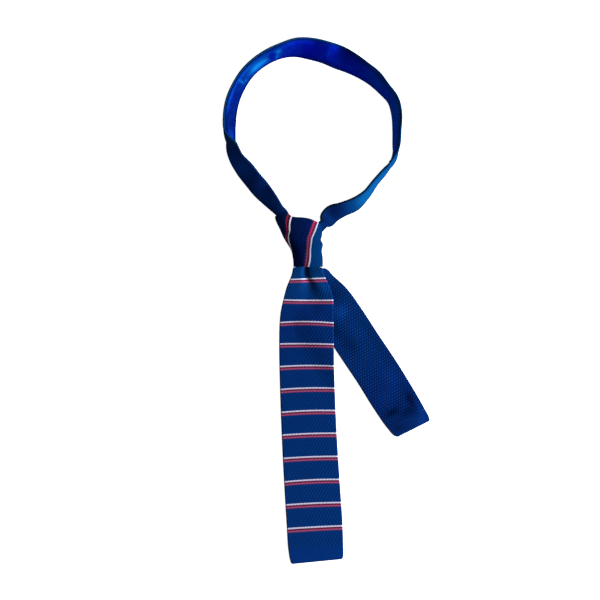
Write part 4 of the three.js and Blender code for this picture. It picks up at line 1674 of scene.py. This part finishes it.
        piece = strip_skin("front_blade_knit", ribbon, columns, relief)
        finish = KnitFinish(
            "Striped navy knit of the blade", relief=self.relief,
            stripes=Stripes.BLADE, hem_at=hem,
            fades=(
                Fade(True, -24.0, 14.0, 0.5, 0.95), Fade(False, 110.0, 50.0, 1.0, 1.45),
                Fade(False, 3.0, 9.0, 0.3, 1.0),
            ),
            # Painted light and shade on the blade: tints along it and soft spots, the darker ones
            # in the folds below the knot; the tints also set the knit's own colour.
            colour_and_shade_tints=(
                (-8.0, (1.2, 1.0, 0.93)), (8.0, (1.2, 0.9, 0.92)),
                (40.0, (1.2, 0.65, 0.88)), (130.0, (1.1, 0.77, 0.92)),
                (230.0, (1.2, 0.83, 0.95)), (hem - 1, (1.2, 0.83, 0.95)),
                (hem, (1.0, 0.68, 0.9)),
            ),
            painted_light_patches=(
                PaintedLightPatch(-8.0, 9.0, 6.0, 6.0, -0.35), PaintedLightPatch(11.0, 6.0, 8.0, 6.0, -0.4),
                PaintedLightPatch(33.0, 12.0, 10.0, 8.0, -0.25), PaintedLightPatch(9.0, 24.0, 8.0, 6.0, 0.4),
            ),
        )
        dress(piece, finish.material(), "front_blade")
        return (piece, self.width * MILLIMETRE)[0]


@dataclass(frozen=True)
class KnotWrap:
    """The striped stretch of the blade that is wrapped round the knot."""

    knot: Knot = KNOT
    rim: float = 0.5
    row_step: float = 0.54
    shown_step: float = 0.6
    hidden_step: float = 2.4
    measured_at: float = 0.55
    relief: KnitRelief = KnitRelief()

    def angles(self) -> Array:
        """Returns angles round the sleeve, from under it and round to there again.

        They are evenly spaced on its shown side and wider apart on its hidden one, as
        measured along the ring at a share of its height.
        """
        fine = np.radians(np.linspace(-90, 270, 14401))
        line = self.knot.sleeve_point(fine, np.float64(self.measured_at), 0.0)
        step = np.linalg.norm(np.diff(line, axis=0), axis=-1)
        wanted = np.where(np.sin(fine[1:]) > -0.25, self.shown_step, self.hidden_step)
        weight = np.concatenate([[0], np.cumsum(step / wanted)])
        count = int(round(weight[-1]))
        return np.interp(np.linspace(0, weight[-1], count + 1), weight, fine)

    def rows(self) -> tuple[Array, Array]:
        """Returns the share and wall of each row, from the throat out, in and back."""
        rim = self.rim / self.knot.height
        outside = dense_between(rim, 1 - rim, self.row_step / self.knot.height)
        around = np.radians(np.linspace(0, 180, 9))[1:-1]
        inside = np.linspace(1 - rim, rim, 24)
        bulge = rim * np.sin(around)
        share = np.concatenate([outside, 1 - rim + bulge, inside, rim - bulge, [rim]])
        turned = (1 - np.cos(around)) / 2
        wall = np.concatenate([0 * outside, turned, 1 + 0 * inside, 1 - turned, [0]])
        return share, wall

    def stripe_angle(self, share: Array, stripe: Sequence[tuple[float, float]]) -> Array:
        """Finds where a stripe crosses each row of the sleeve.

        Args:
            share: the rows' shares of the way from throat to mouth.
            stripe: heights and angles round the sleeve in degrees, heights rising.

        Returns:
            The angles round the sleeve, in radians.
        """
        heights, places = np.array(stripe).T
        angle = np.full_like(share, np.pi / 2)
        for _ in range(6):
            height = share * self.knot.mouth_share(angle)
            angle = np.radians(np.interp(height, heights, places))
        return angle

    def build(self) -> bpy.types.Object:
        """Builds and dresses the knot's wrap."""
        angle = self.angles()
        share, wall = self.rows()
        places = self.knot.sleeve_point(angle[None], share[:, None], wall[:, None])
        step = np.linalg.norm(np.diff(places, axis=1), axis=-1)
        around = np.concatenate([np.zeros((len(share), 1)), np.cumsum(step, axis=1)], axis=1)
        right = self.stripe_angle(share, RIGHT_STRIPE)
        left = self.stripe_angle(share, LEFT_STRIPE)
        at = [
            np.array([np.interp(a, angle, line) for a, line in zip(found, around)])
            for found in (right, left)
        ]
        along = -(around - at[0][:, None]) / (at[1] - at[0])[:, None] * STRIPE_PITCH
        path = np.cumsum(np.hypot(np.diff(share) * self.knot.height, np.diff(wall) * CLOTH.knit))
        across = np.broadcast_to(np.concatenate([[0], path])[:, None], along.shape)
        shown = smoothstep(np.sin(angle), -0.7, -0.1)[None] * (1 - wall[:, None])
        shown = shown * (1 - 0.8 * smoothstep(along, -2, 1))
        piece = skin_mesh(
            "knot_wrap_knit",
            places,
            np.stack([across, along], axis=-1),
            self.relief.rise(across, along) * shown,
        )
        finish = KnitFinish(
            "Striped navy knit of the wrap", relief=self.relief, stripes=Stripes.WRAP,
            pair=StripePair(white_at=-0.22, white_half=(0.86, 0.5)),
            fades=(Fade(False, 1.5, -2.0, 0.0, 1.0), Fade(False, -17.0, -8.0, 0.3, 1.7)),
            # Painted shade on the wrap's middle between its stripes, and painted light on its
            # left white stripe, which lies in shade, with the right one dimmed; the tints also
            # set the knit's own colour.
            colour_and_shade_tints=(
                (-30.0, (1.2, 0.6, 0.7)), (-24.0, (1.3, 0.34, 0.46)),
                (-8.0, (1.3, 0.34, 0.6)), (-1.2, (0.4, 0.6, 0.57)),
            ),
            white_colour_and_shade=((-14.0, (0.26, 0.26, 0.29)), (-10.0, (0.085, 0.092, 0.12))),
        )
        dress(piece, finish.material(), "knot_wrap")
        return piece


RIGHT_STRIPE = (
    (0, 89.8), (0.324, 82.5), (0.43, 78.5), (0.552, 69.0), (0.857, 46.5), (1, 40.5)
)
"""Heights and angles round the sleeve, in degrees, of the wrap's right white stripe."""

LEFT_STRIPE = (
    (0, 213), (0.3, 169.5), (0.42, 147.6), (0.667, 116.6), (0.952, 100.6), (1, 98.4)
)
"""The same of its left white stripe."""


class BandPlace(NamedTuple):
    """One row of the neck band, at its real place."""

    along: float
    x: float
    y: float
    width: float
    inner: float
    outer: float
    fold: float
    lift: float


@dataclass(frozen=True)
class NeckBand:
    """The narrow band that makes the loop above the knot."""

    width: float = 27.5
    loop_width: float = 183.0
    loop_height: float = 184.3
    row_step: float = 0.55
    station: float = 11.0
    lining_from: float = 4.6
    lining_to: float = 27.0
    lining_edge: float = 0.8
    lining_blend: float = 4.0
    thinned: float = 0.6
    least_bend: float = 0.05
    section_steps: int = 64
    relief: KnitRelief = KnitRelief(rows=0.9)

    def rows(self) -> tuple[BandPlace, ...]:
        """Returns the band's rows with their real places along it."""
        join = BandRow(KNOT.join_across, KNOT.join_up, 0, 180, 180, 0.5, 1)
        knot = (KNOT.mouth_width, 0.0, KNOT.height)
        loop = (self.loop_width, KNOT.height, self.loop_height)
        places = [
            (row.across * width, start + row.up * height, row)
            for rows, (width, start, height) in (
                ((join, *LEFT_OF_KNOT), knot), (LOOP_ROWS, loop), (RIGHT_OF_KNOT, knot)
            )
            for row in rows
        ]
        found, along = [], 0.0
        for count, (x, y, row) in enumerate(places):
            before = places[max(count - 1, 0)]
            along += float(np.hypot(x - before[0], y - before[1]))
            found.append(BandPlace(along, x, y, *row[2:]))
        return tuple(found)

    def lined(self) -> tuple[float, float]:
        """Returns the places along the band where its lining starts and ends."""
        loop = self.rows()[1 + len(LEFT_OF_KNOT):]
        length = self.rows()[-1].along
        step = length / round(length / self.station)
        ends = []
        for row, snap in ((self.lining_from, np.ceil), (self.lining_to, np.floor)):
            index = min(int(row), len(loop) - 2)
            place = lerp(loop[index].along, loop[index + 1].along, row - index)
            ends.append(float(snap(place / step) * step))
        return ends[0], ends[1]

    def thinning(self, along: Array, share: Array) -> Array:
        """Finds what the band's half thickness is multiplied by on its lined side.

        Args:
            along: places along it, one for each row.
            share: shares from its inner to its outer edge, rows by columns.

        Returns:
            The factors, rows by columns, which are small at the lined edges.
        """
        start, end = self.lined()
        blend = self.lining_blend
        lined = smoothstep(along, start - blend, start + blend)
        lined = lined * (1 - smoothstep(along, end - blend, end + blend))
        beside = smoothstep(np.abs(2 * share - 1), 0.5, 1)
        return 1 - self.thinned * lined[:, None] * beside

    def outward(self, curve: SmoothTable, along: Array) -> Array:
        """Returns the outward direction across the band at places along it."""
        here, there = curve(along - 2), curve(along + 2)
        across = np.stack([here.y - there.y, there.x - here.x, 0 * here.x], axis=-1)
        start = heading(180 - KNOT.join_slant)
        share = np.clip(along / self.station, 0, 1)[:, None]
        return unit(lerp(start, unit(across), share))

    def ribbon(self, along: Array, share: Array) -> Ribbon:
        """Lays the band's middle out.

        Args:
            along: places along it, one for each row.
            share: shares from its inner to its outer edge, rows by columns.

        Returns:
            The ribbon, whose shown side is the lined one.
        """
        curve = SmoothTable(self.rows())
        row = curve(along)
        gather = 1 - smoothstep(row.width, 0.3, 0.75)
        thickness = lerp(CLOTH.knit, CLOTH.gathered, gather)
        width = np.maximum(row.width * self.width, KNOT.gathered_neck)
        length = width - 2 * thickness * CLOTH.edge_share
        inner, outer = np.radians(row.inner), np.radians(row.outer)
        bend = np.maximum(CLOTH.fold_radius * np.abs(outer - inner) / length, self.least_bend)

        def slope(part: Array) -> Array:
            """Returns the band's slope at shares across it."""
            turned = np.clip((part - row.fold[:, None]) / bend[:, None] + 0.5, 0, 1)
            return lerp(inner[:, None], outer[:, None], turned)

        steps = self.section_steps
        each = slope((np.arange(steps)[None] + 0.5) / steps)
        zero = np.zeros((len(along), 1))
        scale = (length / steps)[:, None]
        out = np.concatenate([zero, np.cumsum(np.cos(each) * scale, axis=1)], axis=1)
        up = np.concatenate([zero, np.cumsum(np.sin(each) * scale, axis=1)], axis=1)
        here = slope(np.arange(steps + 1)[None] / steps)
        half, rounding = thickness[:, None] / 2, thickness * CLOTH.edge_share
        outs = np.concatenate(
            [out - half * np.sin(here), out + half * np.sin(here),
             (-rounding * np.cos(inner))[:, None],
             out[:, -1:] + (rounding * np.cos(outer))[:, None]], axis=1,
        )
        ups = np.concatenate(
            [up - half * np.abs(np.cos(here)), (-rounding * np.sin(inner))[:, None],
             up[:, -1:] + (rounding * np.sin(outer))[:, None]], axis=1,
        )
        middle = (outs.min(axis=1) + outs.max(axis=1)) / 2
        layers = np.clip(row.lift, 0, 2)
        level = np.minimum(layers, 1) * KNOT.tail_level
        level = level + np.maximum(layers - 1, 0) * KNOT.layer_pitch - ups.min(axis=1)

        place = share * steps
        index = np.clip(place.astype(int), 0, steps - 1)
        part = place - index
        lines = np.arange(len(along))[:, None]
        out_at = lerp(out[lines, index], out[lines, index + 1], part) - middle[:, None]
        up_at = lerp(up[lines, index], up[lines, index + 1], part) + level[:, None]
        outward = self.outward(curve, along)[:, None]
        near = np.clip(1 - along / self.station, 0, 1) * CLOTH.seat_gap
        origin = np.stack([row.x, row.y, 0 * row.x], axis=-1)
        origin = origin + heading(90 - KNOT.join_slant) * near[:, None]
        slopes = slope(share)[..., None]
        points = origin[:, None] + outward * out_at[..., None] + UP * up_at[..., None]
        return Ribbon(
            middles=points,
            normals=outward * -np.sin(slopes) + UP * np.cos(slopes),
            outwards=outward * np.cos(slopes) + UP * np.sin(slopes),
            thickness=thickness,
            along=along,
        )

    def build(self) -> bpy.types.Object:
        """Builds and dresses the neck band."""
        columns = StripColumns(self.width, shown_step=0.85, hidden_step=0.85)
        share = (columns.layout()[0][None] + 1) / 2
        along = dense_between(0, self.rows()[-1].along, self.row_step)
        share = np.broadcast_to(share, (len(along), share.shape[1]))
        ribbon = self.ribbon(along, share)
        ribbon.shown = self.thinning(along, share)
        start, end = self.lined()

        def relief(across: Array, place: Array) -> Array:
            """Returns the stitches' rise, with none under the lining."""
            covered = (place > start) & (place < end)
            covered = covered & (np.abs(across) < self.width / 2)
            return np.where(covered, 0, self.relief.rise(across, place))

        piece = strip_skin("neck_band_knit", ribbon, columns, relief)
        finish = KnitFinish(
            "Navy knit of the neck band", relief=self.relief,
            # Painted shade along the band's edges, outside its lined stretch.
            deep=(0.00012, 0.0017, 0.011), bright=(0.0006, 0.0160, 0.070), edge=15.8,
            bare=((start + end) / 2, (end - start) / 2),
            # Tints and soft spots of painted light and shade along the band: brighter beside the
            # knot, darker in the fold on its right; the tints also set the knit's own colour.
            colour_and_shade_tints=(
                (68.0, (2.2, 1.15, 1.6)), (88.0, (2.2, 0.8, 1.2)), (108.0, (2.0, 1.25, 1.7)),
                (125.0, (2.0, 1.25, 1.7)), (145.0, (1.5, 1.3, 1.1)), (470.0, (1.5, 1.5, 1.2)),
                (500.0, (1.5, 1.9, 1.4)), (530.0, (1.4, 2.1, 1.45)), (546.0, (0.7, 0.95, 0.9)),
                (558.0, (0.7, 0.36, 0.5)), (567.0, (0.7, 0.26, 0.38)), (576.0, (0.8, 0.45, 0.55)),
                (588.0, (1.2, 0.75, 0.85)),
            ),
            painted_light_patches=(
                PaintedLightPatch(571.0, 1.0, 6.0, 7.0, -0.55), PaintedLightPatch(555.0, 8.0, 6.0, 4.5, -0.5),
                PaintedLightPatch(552.0, -3.0, 6.0, 3.5, 0.8), PaintedLightPatch(534.0, 9.5, 10.0, 3.5, -0.5),
            ),
        )
        dress(piece, finish.material(), "neck_band")
        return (piece, self.width * MILLIMETRE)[0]


@dataclass(frozen=True)
class NeckLining:
    """The satin strip on the neck side of the band."""

    band: NeckBand = NeckBand()
    step: float = 0.7
    end_rounding: float = 0.8
    fullness: float = 0.1
    wide_crease: float = 0.06
    fine_crease: float = 0.03

    def build(self) -> bpy.types.Object:
        """Builds and dresses the lining."""
        start, end = self.band.lined()
        along = dense_between(start, end, self.step)
        width = self.band.width - 2 * self.band.lining_edge
        columns = StripColumns(width, shown_step=self.step, edge_steps=4)
        layout = columns.layout()[0]
        margin = self.band.lining_edge / (self.band.width - 2 * CLOTH.knit * CLOTH.edge_share)
        share = lerp(margin, 1 - margin, (layout + 1) / 2)
        share = np.broadcast_to(share, (len(along), len(layout)))
        ribbon = self.band.ribbon(along, share)
        under = ribbon.thickness[:, None] / 2 * self.band.thinning(along, share)
        offset = under + CLOTH.seat_gap + CLOTH.lining / 2
        ends = np.minimum(along - start, end - along)
        lining = Ribbon(
            middles=ribbon.middles + ribbon.normals * offset[..., None],
            normals=ribbon.normals,
            outwards=ribbon.outwards,
            thickness=rounded_ends(np.full(len(along), CLOTH.lining), ends, self.end_rounding),
            along=along,
        )

        def relief(across: Array, place: Array) -> Array:
            """Returns the satin's soft creases."""
            calm = smoothstep(np.abs(across), width / 2, width / 2 - 5)
            wide = np.cos(place / 5.1 + 0.9 * np.sin(across / 4.0 + place / 31))
            fine = np.cos(place / 2.3 - across / 3.1)
            return (self.fullness + self.wide_crease * wide + self.fine_crease * fine) * calm

        piece = strip_skin("neck_lining_satin", lining, columns, relief)
        finish = SatinFinish("Blue satin of the lining")
        dress(piece, finish.material(), "neck_lining")
        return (piece, width * MILLIMETRE)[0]


BLADE_CURVE = SmoothTable(BLADE_ROWS)
DRAPE_CURVE = SmoothTable(DRAPE_ROWS)
TAIL_CURVE = SmoothTable(TAIL_ROWS)


# Studio


@dataclass(frozen=True)
class AreaLight:
    """A soft rectangular light, in metres from the middle of the tie."""

    name: str
    place: tuple[float, float, float]
    size: tuple[float, float]
    power: float

    def build(self) -> bpy.types.Object:
        """Builds the light, turned to the middle of the tie."""
        light = bpy.data.lights.new(self.name, "AREA")
        light.shape = "RECTANGLE"
        light.size, light.size_y = self.size
        light.energy = self.power
        lamp = add_object(self.name, light)
        lamp.location = self.place
        lamp.rotation_euler = (-Vector(self.place)).to_track_quat("-Z", "Y").to_euler()
        return lamp


@dataclass(frozen=True)
class Studio:
    """The pale floor, the soft lights and the camera."""

    floor_size: float = 6.0
    floor_level: float = -0.0004
    floor_colour: Colour = (0.25, 0.25, 0.25)
    floor_glow: float = 0.9
    camera_height: float = 5.5
    camera_place: tuple[float, float] = (-8.25, -36.3)
    lens: float = 300.0
    world: float = 0.6
    lights: tuple[AreaLight, ...] = (
        AreaLight("Key light", (1.55, -0.35, 0.58), (0.7, 0.45), 330.0),
        AreaLight("Top light", (0.0, 0.2, 2.6), (2.6, 2.6), 15.0),
    )

    def build(self) -> None:
        """Builds the studio."""
        mesh = grid_mesh("floor", 1, 1, self.floor_size / 2)
        mesh.transform(Matrix.Translation((0, 0, self.floor_level)))
        finish = PaleFinish("Pale floor", self.floor_colour, self.floor_glow)
        mesh.materials.append(finish.material())
        add_object("floor", mesh)
        for light in self.lights:
            light.build()
        world = bpy.data.worlds.new("Studio air")
        world.use_nodes = True
        air = world.node_tree.nodes["Background"]
        air.inputs["Color"].default_value = (1.0, 1.0, 1.0, 1.0)
        air.inputs["Strength"].default_value = self.world
        bpy.context.scene.world = world
        self.camera()

    def camera(self) -> None:
        """Sets the camera straight over the tie."""
        camera = bpy.data.cameras.new("Camera")
        camera.lens = self.lens
        camera.sensor_width = 36.0
        camera.clip_start = 0.05
        eye = add_object("Camera", camera)
        across, along = self.camera_place
        eye.location = (
            THROAT.x + across * MILLIMETRE,
            THROAT.y + along * MILLIMETRE,
            self.camera_height,
        )
        bpy.context.scene.camera = eye


def main() -> None:
    """Builds the tie and its studio, piece by piece."""
    logging.basicConfig(level=logging.INFO, format="%(name)s: %(message)s")
    for maker in (TailBlade(), FrontBlade(), KnotWrap(), NeckBand(), NeckLining()):
        piece = maker.build()
        faces = sum(len(face.vertices) - 2 for face in piece.data.polygons)
        LOG.info("%s built, %d triangles", piece.name, faces)
    Studio().build()
    bpy.context.scene.view_settings.view_transform = "Standard"


if __name__ == "__main__":
    main()
